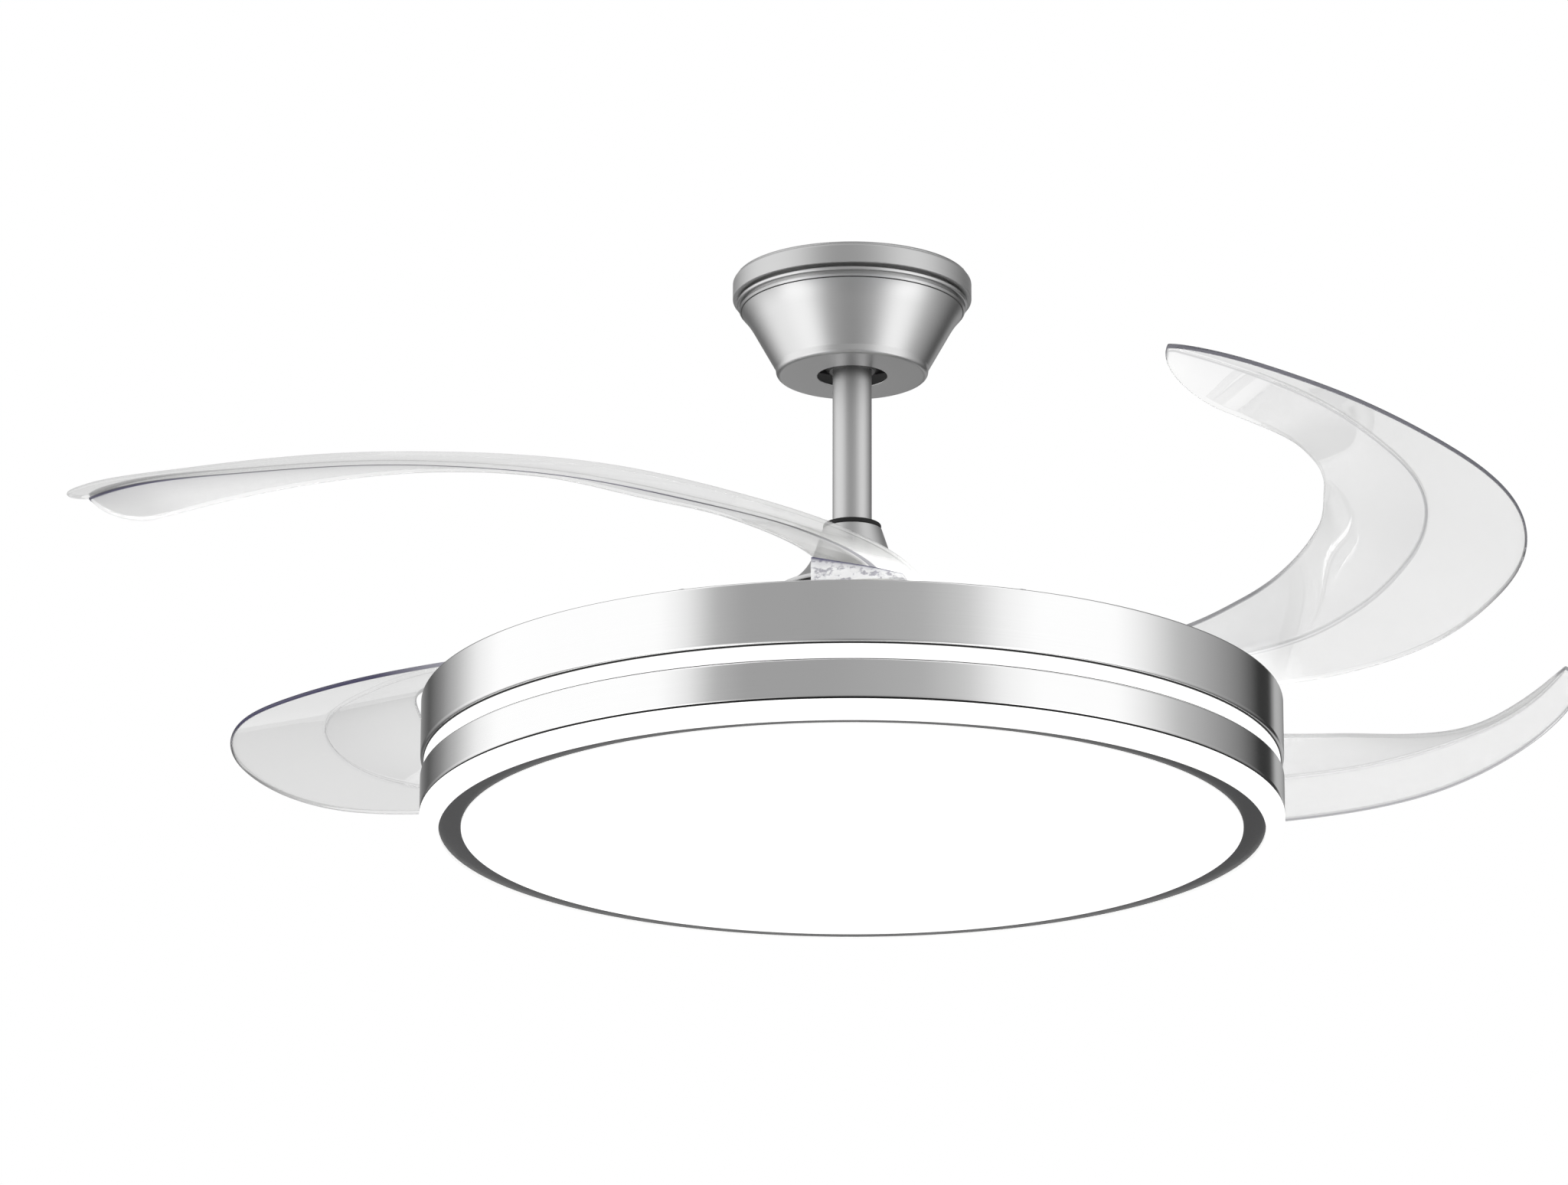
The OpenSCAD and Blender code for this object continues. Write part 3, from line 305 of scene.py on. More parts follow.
def clear_plastic():
    """Clear moulded plastic. Its rim and its crease carry painted shade, dark lines as thick clear
    edges show, the plastic beside the crease has painted grey shade, and its root is milky with a
    painted glow."""
    m = Finish("clear_plastic")
    ink, dense, frost = (m.painted(name) for name in ("ink", "dense", "frost"))
    flow = m.noise(m.place((3, 3, 3)), 4, detail=2)
    body = m.blend(flow, (0.89, 0.89, 0.885), (0.93, 0.93, 0.925))
    # Painted shade: grey beside the crease, as refraction darkens it
    body = m.blend(dense, body, (0.5, 0.49, 0.54))
    body = m.blend(frost, body, (0.97, 0.97, 0.975))
    return m.shader(
        # Painted shade: dark lines on the rim and the crease, as thick clear edges show
        base_color=m.blend(ink, body, (0.006, 0.005, 0.022)),
        roughness=0.02 + flow * 0.02 + frost * 0.3,
        transmission_weight=1.0,
        ior=1.3,
        alpha=m.between(ink + dense * 0.5 + frost * 0.6, -0.7, 0.9),
        # Painted light: the milky root glows a little, brighter than the lamps make it
        emission_color=m.blend(frost, (0.0, 0.0, 0.0), (0.36, 0.36, 0.355)),
        emission_strength=1.0,
        normal=m.bump(flow, 0.15, 0.002),
    )


def frosted_block():
    """Thick clear plastic, milky inside, with moulded waves that carry a painted glint, and painted
    shade along its top edges.
    """
    m = Finish("frosted_block")
    waves = m.noise(m.place((1, 1, 1.6)), 190, detail=3, roughness=0.6)
    marks = m.between(waves, 0.36, 0.5)
    ink = m.painted("ink")
    milk = m.blend(marks, (0.5, 0.49, 0.53), (0.88, 0.88, 0.88))
    # Painted glint: emission on the moulded waves
    glint = m.blend(marks, (0.06, 0.06, 0.07), (0.24, 0.24, 0.24))
    return m.shader(
        # Painted shade: dark line along the top edges, as a thick clear edge shows
        base_color=m.blend(ink, milk, (0.03, 0.025, 0.1)),
        roughness=0.08 + waves * 0.14,
        transmission_weight=0.25,
        ior=1.45,
        emission_color=m.blend(ink, glint, (0.0, 0.0, 0.02)),
        emission_strength=1.0,
        normal=m.bump(waves, 0.7, 0.002),
    )


NICKEL = nickel_plate("polished_nickel", 0.72, 0.09, 0.04)
SATIN = nickel_plate("satin_nickel", 0.6, 0.27, 0.06)
SOFT_SATIN = nickel_plate("soft_satin_nickel", 0.54, 0.42, 0.05)
STEEL = turned_steel()
ZINC = zinc_plate()
IRON = stacked_iron()
COPPER = copper_winding()
LIT = lit_acrylic()
CLEAR = clear_plastic()
FROSTED = frosted_block()
CAST = coated("coated_casting", (0.62, 0.62, 0.61), (0.72, 0.72, 0.71), 0.4, 500.0, 0.0003)
WHITE_METAL = coated("white_powder_coat", (0.8, 0.8, 0.79), (0.87, 0.87, 0.86), 0.42, 600.0, 0.0003)
DARK_TRIM = coated("dark_trim_paint", (0.03, 0.03, 0.032), (0.045, 0.045, 0.047), 0.34, 900.0)
BRASS = coated("plain_brass", (0.55, 0.4, 0.16), (0.66, 0.5, 0.22), 0.28, 900.0, 0.0001, 1.0)
# Black rubber for the gasket; the thin black rings between the drum's bands use it as painted shadow
BLACK_RUBBER_AND_SHADE = coated("black_rubber_and_painted_shade", (0.004, 0.004, 0.004), (0.008, 0.008, 0.008), 0.7, 1200.0)
BLACK_PLASTIC = coated("black_plastic", (0.025, 0.025, 0.026), (0.04, 0.04, 0.041), 0.42)
GREY_PLASTIC = coated("grey_plastic", (0.05, 0.05, 0.05), (0.075, 0.075, 0.075), 0.22)
# Painted shade: dark finish for the inside of the hollow canopy, where shadow falls
PAINTED_SHADE_INSIDE = coated("painted_shade_inside", (0.03, 0.03, 0.03), (0.05, 0.05, 0.05), 0.6)
WHITE_PLASTIC = coated("white_plastic", (0.8, 0.8, 0.78), (0.86, 0.86, 0.84), 0.35)
GEAR_PLASTIC = coated("natural_acetal", (0.76, 0.76, 0.72), (0.83, 0.83, 0.8), 0.33)
PHOSPHOR = coated("phosphor", (0.85, 0.68, 0.25), (0.92, 0.78, 0.36), 0.5, 1500.0)

FINISH_OF_SLOT = {
    "nickel": NICKEL, "steel": STEEL, "zinc": ZINC, "iron": IRON, "cast_shell": CAST,
    "white_metal": WHITE_METAL, "dark_trim": DARK_TRIM, "copper": COPPER, "brass": BRASS,
    "rubber": BLACK_RUBBER_AND_SHADE, "black_plastic": BLACK_PLASTIC, "grey_plastic": GREY_PLASTIC,
    "white_plastic": WHITE_PLASTIC, "gear_plastic": GEAR_PLASTIC, "phosphor": PHOSPHOR,
    "white_acrylic": LIT, "clear_plastic": CLEAR,
}
for part in frame["record"]["subparts"]:
    mesh = frame["nodes"][part["node"]].data
    mesh.materials.clear()
    mesh.materials.append(FINISH_OF_SLOT[part["material_slot"]])


# ---- Making pieces

def placed(name, data):
    made = bpy.data.objects.new(name, data)
    bpy.context.scene.collection.objects.link(made)
    return made


def piece(name, mesh, body, slot, material, *nodes):
    """Adds a piece that rides on a body and stands for CAD nodes."""
    made = placed(name, mesh)
    mesh.materials.append(material)
    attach(made, body)
    if nodes:
        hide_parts(*nodes)
    return made


def smooth(mesh, sharp_angle=38):
    """Shades smooth all but the edges that turn by more than an angle, in degrees."""
    mesh.shade_smooth()
    mesh.set_sharp_from_angle(angle=math.radians(sharp_angle))


def join_loops(bm, loops):
    """Faces between closed loops of points, from each loop to the next."""
    for one, two in zip(loops, loops[1:]):
        for j in range(len(one)):
            k = (j + 1) % len(one)
            bm.faces.new((one[j], two[j], two[k], one[k]))


def as_mesh(bm, name, sharp_angle=38):
    bmesh.ops.recalc_face_normals(bm, faces=bm.faces)
    mesh = bpy.data.meshes.new(name)
    bm.to_mesh(mesh)
    bm.free()
    smooth(mesh, sharp_angle)
    return mesh


def filleted(corners, closed):
    """(radius, height, fillet) corners as (radius, height) points with round corners."""
    steps = 5
    points = []
    count = len(corners)
    for i, (r, z, fillet) in enumerate(corners):
        here = Vector((r, z))
        if not fillet or (not closed and i in (0, count - 1)):
            points.append(here)
            continue
        before = (Vector(corners[i - 1][:2]) - here).normalized()
        after = (Vector(corners[(i + 1) % count][:2]) - here).normalized()
        half = before.angle(after) / 2
        middle = here + (before + after).normalized() * fillet / math.sin(half)
        start = here + before * fillet / math.tan(half) - middle
        end = here + after * fillet / math.tan(half) - middle
        for k in range(steps + 1):
            points.append(middle + start.slerp(end, k / steps) * fillet)
    return points


def turned(name, corners, closed, segments=256):
    """Mesh of an outline of (radius, height, fillet) corners turned round the fan's axis."""
    bm = bmesh.new()
    turns = [2 * math.pi * k / segments for k in range(segments)]
    circles = [
        [bm.verts.new((r * math.cos(a), r * math.sin(a), z)) for a in turns]
        for r, z in filleted(corners, closed)
    ]
    join_loops(bm, circles + circles[:1] if closed else circles)
    bmesh.ops.remove_doubles(bm, verts=bm.verts, dist=1e-6)
    return as_mesh(bm, name)


def flat_normals(made):
    """Keeps wide faces flat beside small round edges."""
    made.modifiers.new("even_shading", "WEIGHTED_NORMAL").keep_sharp = True


def solid_round(name, corners, body, slot, material, *nodes, segments=256):
    """Turned solid, from its whole outline."""
    made = piece(name, turned(name, corners, True, segments), body, slot, material, *nodes)
    flat_normals(made)


def sheet_round(name, corners, thickness, body, slot, material, *nodes):
    """Spun or rolled sheet metal, from its outer skin's outline, listed from below upwards."""
    made = piece(name, turned(name, corners, False), body, slot, material, *nodes)
    shell = made.modifiers.new("sheet", "SOLIDIFY")
    shell.thickness = thickness
    shell.offset = -1
    flat_normals(made)
    return made


def inside_of(made, material):
    """Gives a sheet's inner skin a finish of its own."""
    made.data.materials.append(material)
    made.modifiers["sheet"].material_offset = 1


def round_room(node):
    """Outer radius, lowest and highest point of a CAD node that is round about the fan's axis."""
    low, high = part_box(node)
    return high.x, low.z, high.z


# ---- Ceiling end

ROD_HOLE_R = 11.6 * MM


def canopy():
    """Spun canopy: flat foot, bulging cone, a bead between two grooves, and its cover ring."""
    _, base, top = round_room("canopy")
    ring_r, ring_base, ring_top = round_room("canopy_ring")
    sheet = 1.2 * MM
    hole_r = 20.5 * MM
    foot_r, foot_top = 45 * MM, base + 5 * MM
    shoulder_r, shoulder = 62 * MM, top - 23 * MM
    bulge = 60 * MM
    wall_r = ring_r - 3.4 * MM
    groove_r = wall_r - 3 * MM
    bead_r = 1.35 * MM
    bead_middle_r, bead_z = wall_r - 0.4 * MM, ring_base - 2.5 * MM
    bead = [
        (bead_middle_r + bead_r * math.cos(a), bead_z + bead_r * math.sin(a), 0)
        for a in map(math.radians, range(-90, 91, 18))
    ]
    shell = sheet_round("canopy_shell", [
        (hole_r, base + 0.9 * MM, 0), (hole_r, base, 0.5 * MM),
        (foot_r - 0.4 * MM, base, 3 * MM), (foot_r, foot_top, 1.2 * MM),
        (shoulder_r, shoulder, bulge), (wall_r - 0.6 * MM, bead_z - 3.6 * MM, 0.5 * MM),
        (groove_r, bead_z - 2.6 * MM, 0.4 * MM), (groove_r, bead_z - 1.2 * MM, 0), *bead,
        (groove_r, bead_z + 1.4 * MM, 0), (groove_r, top, 0)
    ], sheet, "ceiling_mount", "nickel", SATIN, "canopy")
    # Inner skin: painted shade of the canopy's hollow
    inside_of(shell, PAINTED_SHADE_INSIDE)
    sheet_round("canopy_cover_ring", [
        (wall_r - 2.6 * MM, ring_base + 0.2 * MM, 0), (wall_r - 2 * MM, ring_base, 0.3 * MM),
        (ring_r, ring_base, 0.9 * MM), (ring_r, ring_top, 2 * MM), (ring_r - 1.8 * MM, ring_top, 0)
    ], sheet, "ceiling_mount", "nickel", SOFT_SATIN, "canopy_ring")


def downrod():
    r, low, high = round_room("downrod")
    bore_r = r - 1.6 * MM
    edge = 0.4 * MM
    solid_round("satin_downrod", [
        (bore_r, low, edge), (r, low, edge), (r, high, edge), (bore_r, high, edge)
    ], "hanging_frame", "nickel", SOFT_SATIN, "downrod", segments=128)


def gasket():
    r, low, high = round_room("rod_gasket")
    edge = 0.7 * MM
    solid_round("rubber_gasket", [
        (ROD_HOLE_R, low, 0), (r, low, edge), (r, high, edge), (ROD_HOLE_R, high, edge)
    ], "hanging_frame", "rubber", BLACK_RUBBER_AND_SHADE, "rod_gasket", segments=128)


def coupling_cover():
    """Straight cone below the gasket, then a flare like part of an oval, and an upright lip."""
    foot_r, foot, top = round_room("coupling_cover")
    sheet = 1.1 * MM
    top_r = 17.4 * MM
    cone_height = 13.5 * MM
    lip = 2.5 * MM
    lip_edge = 0.6 * MM
    steep, flat = math.radians(18), math.radians(70)
    waist = top - cone_height
    waist_r = top_r + cone_height * math.tan(steep)
    reach = foot_r - lip_edge - waist_r
    drop = waist - foot - lip
    steps = 24
    flare = []
    for k in range(steps + 1):
        a = steep + (flat - steep) * k / steps
        out = (math.cos(steep) - math.cos(a)) / (math.cos(steep) - math.cos(flat))
        down = (math.sin(a) - math.sin(steep)) / (math.sin(flat) - math.sin(steep))
        flare.append((waist_r + reach * out, waist - drop * down, 0))
    cone = [
        (ROD_HOLE_R + 0.5 * MM, top, 0), (top_r, top, 0.8 * MM), *flare,
        (foot_r, foot + lip, 0.5 * MM), (foot_r, foot, 0)
    ]
    cone.reverse()
    sheet_round(
        "cone_cover", cone, sheet, "hanging_frame", "nickel", SOFT_SATIN, "coupling_cover"
    )


# ---- Motor

def drilled(mesh, holes):
    """Cuts upright round holes, given as (x, y, radius, lowest, highest), through a mesh."""
    bm = bmesh.new()
    for x, y, r, low, high in holes:
        place = Matrix.Translation((x, y, (low + high) / 2))
        bmesh.ops.create_cone(
            bm, cap_ends=True, segments=32, radius1=r, radius2=r, depth=high - low, matrix=place
        )
    drill_mesh = bpy.data.meshes.new("drill")
    bm.to_mesh(drill_mesh)
    bm.free()
    drill, blank = placed("drill", drill_mesh), placed("blank", mesh)
    cut = blank.modifiers.new("cut", "BOOLEAN")
    cut.operation = "DIFFERENCE"
    cut.object = drill
    view = bpy.context.evaluated_depsgraph_get()
    ready = bpy.data.meshes.new_from_object(blank.evaluated_get(view))
    ready.name = mesh.name
    for made in (drill, blank):
        bpy.data.objects.remove(made)
    smooth(ready)
    return ready


def around(count, radius):
    """(x, y) of points spaced evenly round the fan's axis."""
    for k in range(count):
        a = math.radians(360 * k / count)
        yield radius * math.cos(a), radius * math.sin(a)


def motor():
    """Die-cast bell: round shoulder, cooling holes in its top, and a screwed flange."""
    flange_r, low, top = round_room("rotor_top")
    bell_r = 86 * MM
    corner = 22 * MM
    wall = 2.2 * MM
    plate = 2.5 * MM
    bore_r = 11.5 * MM
    groove_in, groove_out, groove_depth = 30 * MM, 44 * MM, 0.6 * MM
    race_r = 16 * MM
    boss_r = race_r + 3 * MM
    seat = top - plate
    boss_low = seat - 8 * MM
    vent_r, vent_circle = 4 * MM, bell_r - 28 * MM
    screw_r, screw_circle = 2.05 * MM, bell_r + 7 * MM
    corners = [
        (bore_r, top, 0.4 * MM), (groove_in, top, 0.3 * MM),
        (groove_in + groove_depth, top - groove_depth, 0.2 * MM),
        (groove_out, top - groove_depth, 0.2 * MM), (groove_out + groove_depth, top, 0.3 * MM),
        (bell_r, top, corner), (bell_r, low + plate, 1.2 * MM), (flange_r, low + plate, 0.6 * MM),
        (flange_r, low, 0.3 * MM), (bell_r - wall, low, 0.3 * MM),
        (bell_r - wall, top - wall, corner - wall), (boss_r, seat, 0.6 * MM),
        (boss_r, boss_low, 0.4 * MM), (race_r, boss_low, 0.3 * MM), (race_r, seat, 0),
        (bore_r, seat, 0.3 * MM)
    ]
    vents = [(x, y, vent_r, top - 8 * MM, top + MM) for x, y in around(12, vent_circle)]
    screws = [(x, y, screw_r, low - MM, low + 4 * MM) for x, y in around(6, screw_circle)]
    mesh = drilled(turned("motor_bell", corners, True, 192), vents + screws)
    made = piece("motor_bell", mesh, "rotor", "cast_shell", CAST, "rotor_top")
    flat_normals(made)


# ---- Drum

# Height that the lit rings leave for a thin black ring: painted shadow of the gap between bands
SHADE_SEAM = 0.5 * MM


def metal_band(name, node):
    """Rolled band with its lips turned in."""
    r, low, high = round_room(node)
    sheet = 1.2 * MM
    lip_r = r - 9 * MM
    lower_edge, upper_edge = 2.2 * MM, 1.3 * MM
    sheet_round(name, [
        (lip_r, low, 0), (r, low, lower_edge), (r, high, upper_edge), (lip_r, high, 0)
    ], sheet, "hanging_frame", "nickel", NICKEL, node)


def painted_shadow_seam(name, r, level):
    """Thin black ring between two bands, set back a little from their faces: painted shadow of the
    gap between them.
    """
    face_r, back_r = r - 0.15 * MM, r - 4 * MM
    low, high = level - 0.3 * MM, level + 0.3 * MM
    solid_round(name, [
        (back_r, low, 0), (face_r, low, 0), (face_r, high, 0), (back_r, high, 0)
    ], "hanging_frame", "rubber", BLACK_RUBBER_AND_SHADE)


def lit_band():
    """The lit band between the metal bands, with a painted shadow ring above and below it."""
    r, low, high = round_room("light_band")
    low, high = low + SHADE_SEAM, high - SHADE_SEAM
    face_r, back_r = r - SHADE_SEAM, r - 5 * MM
    edge = 0.8 * MM
    solid_round("glowing_band", [
        (back_r, low, 0), (face_r, low, edge), (face_r, high, edge), (back_r, high, 0)
    ], "hanging_frame", "white_acrylic", LIT, "light_band")
    painted_shadow_seam("upper_shadow_seam", r, high + SHADE_SEAM / 2)
    painted_shadow_seam("middle_shadow_seam", r, low - SHADE_SEAM / 2)


def rim_ring():
    """White ring round the diffuser: a round corner outside, an upright wall inside."""
    r, low, high = round_room("lens_ring")
    # Thin black ring under the lower band: painted shadow of the gap above the rim
    painted_shadow_seam("lower_shadow_seam", r, high - SHADE_SEAM / 2)
    top = high - SHADE_SEAM
    wall = 2.6 * MM
    corner = 6 * MM
    inner = r - 11 * MM
    edge = 0.3 * MM
    solid_round("white_rim_ring", [
        (inner, low, 0.5 * MM), (r, low, corner), (r, top, edge), (r - wall, top, edge),
        (r - wall, low + wall, corner - wall), (inner + wall, low + wall, 0.5 * MM),
        (inner + wall, high, edge), (inner, high, edge)
    ], "hanging_frame", "white_acrylic", LIT, "lens_ring")


def diffuser():
    """Dish whose face is a little hollow, with a flange at its back."""
    r, low, high = round_room("diffuser")
    face_r = r - 4 * MM
    wall = 2.4 * MM
    inner_r = face_r - wall
    flange = high - 1.6 * MM
    hollow = 0.5 * MM
    edge = 0.4 * MM
    curve = ((0, 1), (0.5, 0.8), (0.8, 0.4))
    face = [(share * face_r, low + depth * hollow, 0) for share, depth in curve]
    solid_round("diffuser_dish", [
        *face, (face_r, low, 1.4 * MM), (face_r, flange, 0.3 * MM), (r, flange, edge),
        (r, high, edge), (inner_r, high, edge), (inner_r, low + wall, 1 * MM), (0, low + wall, 0)
    ], "hanging_frame", "white_acrylic", LIT, "diffuser")


# ---- Blades

BLADE_T = 2.6 * MM
BLADE_W = 112 * MM
# The folded leaf: radius of its leading edge, how far that edge is drawn in at most and rises to
# its tip, and how far the crease and the trailing edge may stand over it
FOLD_R = 245.5 * MM
TUCK = 9 * MM
TIP_RISE = 51 * MM
BLADE_LIFT = 29 * MM
# Degrees round the drum, from the pivot towards the tip of the folded leaf
ROOT_END, BLADE_ARC = -10.0, 171.0
ROOT_ROUND, TIP_ROUND = 4.0, 11.0
BLOCK_FROM, BLOCK_TO = -3.1, 10.5
MILK_FADE, MILK_TO = 16, 32
EDGE_SHADE_FADE = 55
# Degrees about the pivot, from folded to spread
FOLD_ANGLE = 107.0

# How dark each blade's painted shade is: its leading edge at its root and its tip, its crease, its
# trailing edge at its root and its tip, and the plastic beside the crease; last, the angle where
# root becomes tip
EdgeShade = namedtuple("EdgeShade", "root_lead tip_lead crease root_trail tip_trail beside change")
EDGE_SHADE = {
    1: EdgeShade(0.1, 0.95, 0.45, 0.8, 0.05, 0.2, 62),
    2: EdgeShade(0.7, 0.8, 0.3, 0.1, 0.3, 0.2, 62),
    3: EdgeShade(1.0, 0.4, 0.2, 0.4, 0.3, 0.15, 100),
    4: EdgeShade(0.0, 0.0, 1.0, 0.0, 0.0, 0.6, 62),
}
# Share of the thickness that is left at an edge
EDGE_T = 0.12
# Distance from an edge in millimetres, then shares of the thickness and of the edge's painted shade
RIM = [(0, EDGE_T, 1), (0.25, 0.55, 1), (0.7, 0.85, 1), (1.1, 1, 0.8), (1.5, 1, 0.1), (4, 1, 0)]

# Angle from the pivot, then shares: tuck, width, crease's place, rise, crease's lift, trailing lift
ANGLE, TUCKED, WIDTH, CREASE, RISE, CREASE_LIFT, TRAIL_LIFT = range(7)
SECTIONS = [
    (ROOT_END, 0, 0.54, 0.42, 0, 0.2, 0.4),
    (8, 0, 0.54, 0.42, 0, 0.27, 0.54),
    (30, 0.05, 0.77, 0.44, -0.04, 0.38, 0.89),
    (50, 0.35, 0.935, 0.5, 0, 0.44, 0.98),
    (72, 0.85, 0.985, 0.52, 0.145, 0.41, 0.96),
    (98, 0.95, 1, 0.49, 0.235, 0.42, 0.91),
    (128, 0.3, 0.865, 0.465, 0.365, 0.37, 0.57),
    (152, 0, 0.54, 0.45, 0.68, 0.2, -0.2),
    (BLADE_ARC, 0, 0.33, 0.43, 1, 0.08, -0.54),
]


def clamp(value, low=0, high=1):
    return min(max(value, low), high)


def section(u, column):
    """Smooth curve through one column of the sections."""
    rows = SECTIONS
    last = len(rows) - 1
    i = max(k for k in range(last) if k == 0 or rows[k][ANGLE] <= u)
    span = rows[i + 1][ANGLE] - rows[i][ANGLE]
    s = (u - rows[i][ANGLE]) / span

    def slope(k):
        a, b = rows[max(k - 1, 0)], rows[min(k + 1, last)]
        return (b[column] - a[column]) / (b[ANGLE] - a[ANGLE]) * span

    return (
        (2 * s**3 - 3 * s**2 + 1) * rows[i][column] + (s**3 - 2 * s**2 + s) * slope(i)
        + (3 * s**2 - 2 * s**3) * rows[i + 1][column] + (s**3 - s**2) * slope(i + 1)
    )


def trim(u):
    """Share of the width that is left where the tip and the root are round."""
    tip = max(0, (u - (BLADE_ARC - TIP_ROUND)) / TIP_ROUND)
    root = max(0, (ROOT_END + ROOT_ROUND - u) / ROOT_ROUND)
    return math.sqrt(max(0, 1 - tip * tip)) * math.sqrt(max(0, 1 - root * root))


def folded_point(u, s, up, pivot_r):
    """A point of the folded blade, seen from its pivot: s is its share of the width, and up its
    height over the leaf's middle surface."""
    crease, crease_lift, trail_lift = (section(u, n) for n in (CREASE, CREASE_LIFT, TRAIL_LIFT))
    if s < crease:
        lift = crease_lift * s / crease
    else:
        lift = crease_lift + (trail_lift - crease_lift) * (s - crease) / (1 - crease)
    r = FOLD_R - TUCK * section(u, TUCKED) - BLADE_W * section(u, WIDTH) * s
    a = math.radians(u)
    height = TIP_RISE * section(u, RISE) + BLADE_LIFT * lift + up
    return Vector((r * math.cos(a) - pivot_r, -r * math.sin(a), height))


def leaf_columns(u, ink):
    """(share of the width, half thickness, painted edge shade, painted crease shade, frost and
    painted glow) from the leading to the trailing edge. The darker its crease's painted line, the
    wider. The root is milky, most of all before the crease."""
    left = max(trim(u), 0.02)
    width = BLADE_W * section(u, WIDTH) * left
    middle = section(u, CREASE)
    crease = clamp((middle - 0.5) / left + 0.5, 0.35, 0.65)
    rest = 1 - crease

    half = BLADE_T / 2
    middle_r = FOLD_R * 0.85
    to_end = math.radians(min(BLADE_ARC - u, u - ROOT_END)) * middle_r
    rounding = math.sqrt(1 - max(0, 1 - to_end / half) ** 2)
    thinned = half * max(rounding, EDGE_T)
    near_end = 1 - min(to_end / (2 * MM), 1)

    tipward = clamp((u - ink.change) / EDGE_SHADE_FADE + 0.5)
    lead = ink.root_lead + (ink.tip_lead - ink.root_lead) * tipward
    trail = ink.root_trail + (ink.tip_trail - ink.root_trail) * tipward
    fold, soft = ink.crease, ink.beside
    line_width = (0.4 + 1.9 * fold ** 3) * MM
    fine = min(line_width / width, 0.03)
    wide = min(2.6 * MM / width, 0.1)

    def rim(dark):
        return [(min(d * MM / width, 0.3), thick, share * dark, 0) for d, thick, share in RIM]

    columns = rim(lead) + [(1 - s, *tones) for s, *tones in rim(trail)] + [
        (0.45 * crease + 0.02, 1, 0, 0), (0.72 * crease, 1, 0, 0), (crease - wide, 1, 0, 0),
        (crease - fine * 1.5, 1.03, 0.1 * fold, 0.1), (crease - fine, 1.05, fold, 0.2),
        (crease, 1.16, fold, soft), (crease + fine, 1.05, fold, soft),
        (crease + fine * 2, 1, 0, soft), (crease + wide, 1, 0, soft * 0.8),
        (crease + 0.2 * rest, 1, 0, soft * 0.6), (crease + 0.42 * rest, 1, 0, soft * 0.3),
        (crease + 0.7 * rest, 1, 0, 0)
    ]
    milk = clamp((MILK_TO - u) / MILK_FADE)
    fade, least_milk = 8, 0.15
    made = []
    for s, thick, dark, dense in sorted(columns):
        s = 0.5 + (s - 0.5) * left
        frost = milk * clamp(1 - (s - middle) * fade, least_milk)
        made.append((s, thinned * thick, max(dark, near_end * lead), dense, frost))
    return made


def leaf_mesh(name, about, pivot_r, ink):
    """The leaf, spread: folded points are turned back about the pivot."""
    stations = 150
    bm = bmesh.new()
    layers = [bm.verts.layers.float.new(painted) for painted in ("ink", "dense", "frost")]
    loops = []
    for i in range(stations + 1):
        u = ROOT_END + (BLADE_ARC - ROOT_END) * (0.5 - 0.5 * math.cos(math.pi * i / stations))
        columns = leaf_columns(u, ink)
        loop = []
        for side, row in ((1, columns), (-1, columns[::-1])):
            for s, half, *tones in row:
                vert = bm.verts.new(about @ folded_point(u, s, side * half, pivot_r))
                for layer, tone in zip(layers, tones):
                    vert[layer] = tone
                loop.append(vert)
        loops.append(loop)
    join_loops(bm, loops)
    for loop in (loops[0], loops[-1]):
        for j in range(len(loop) // 2 - 1):
            bm.faces.new((loop[j], loop[j + 1], loop[-2 - j], loop[-1 - j]))
    return as_mesh(bm, name, 60)


def block_mesh(name, about, pivot_r):
    """Clear wedge between the hub's plate and the leaf, with round edges and a fluted wall."""
    cells = 24
    lead, trail = 0.14, 0.995
    across = 52 * MM
    flute, flute_points = 0.35, 4
    foot = -BLADE_T / 2
    under_leaf = foot - 0.02 * MM
    bm = bmesh.new()
    edge_shade_layer = bm.verts.layers.float.new("ink")
    steps = [k / cells for k in range(cells)]
    sides = (
        [(k, 0) for k in steps] + [(1, k) for k in steps]
        + [(1 - k, 1) for k in steps] + [(0, 1 - k) for k in steps]
    )

    def ring(inset, height, dark):
        """inset: in millimetres; height: 0 at the flat foot, 1 at the leaf; dark: painted edge
        shade.
        """
        made = []
        for n, (x, y) in enumerate(sides):
            fluted = 0.05 < height < 0.95
            wave = flute * math.cos(2 * math.pi * n / flute_points) if fluted else 0
            shrink = 1 - 2 * (inset + wave) * MM / across
            s = lead + (trail - lead) * (0.5 + (x - 0.5) * shrink)
            u = BLOCK_FROM + (BLOCK_TO - BLOCK_FROM) * (0.5 + (y - 0.5) * shrink)
            at = folded_point(u, s, under_leaf, pivot_r)
            at.z = foot + (at.z - foot) * height
            vert = bm.verts.new(about @ at)
            vert[edge_shade_layer] = dark
            made.append(vert)
        return made

    # Rows: inset, height and painted shade; the dark line along the top edges is painted shade of
    # the thick clear edge
    rings = [ring(*row) for row in (
        (1.4, 0, 0), (0.5, 0.03, 0), (0.1, 0.1, 0), (0, 0.3, 0), (0, 0.6, 0), (0.1, 0.84, 0.3),
        (0.5, 0.96, 1), (1.4, 1, 0.8)
    )]
    join_loops(bm, rings)
    for end in (rings[0], rings[-1]):
        ring_grid(bm, end, cells)
    return as_mesh(bm, name, 35)


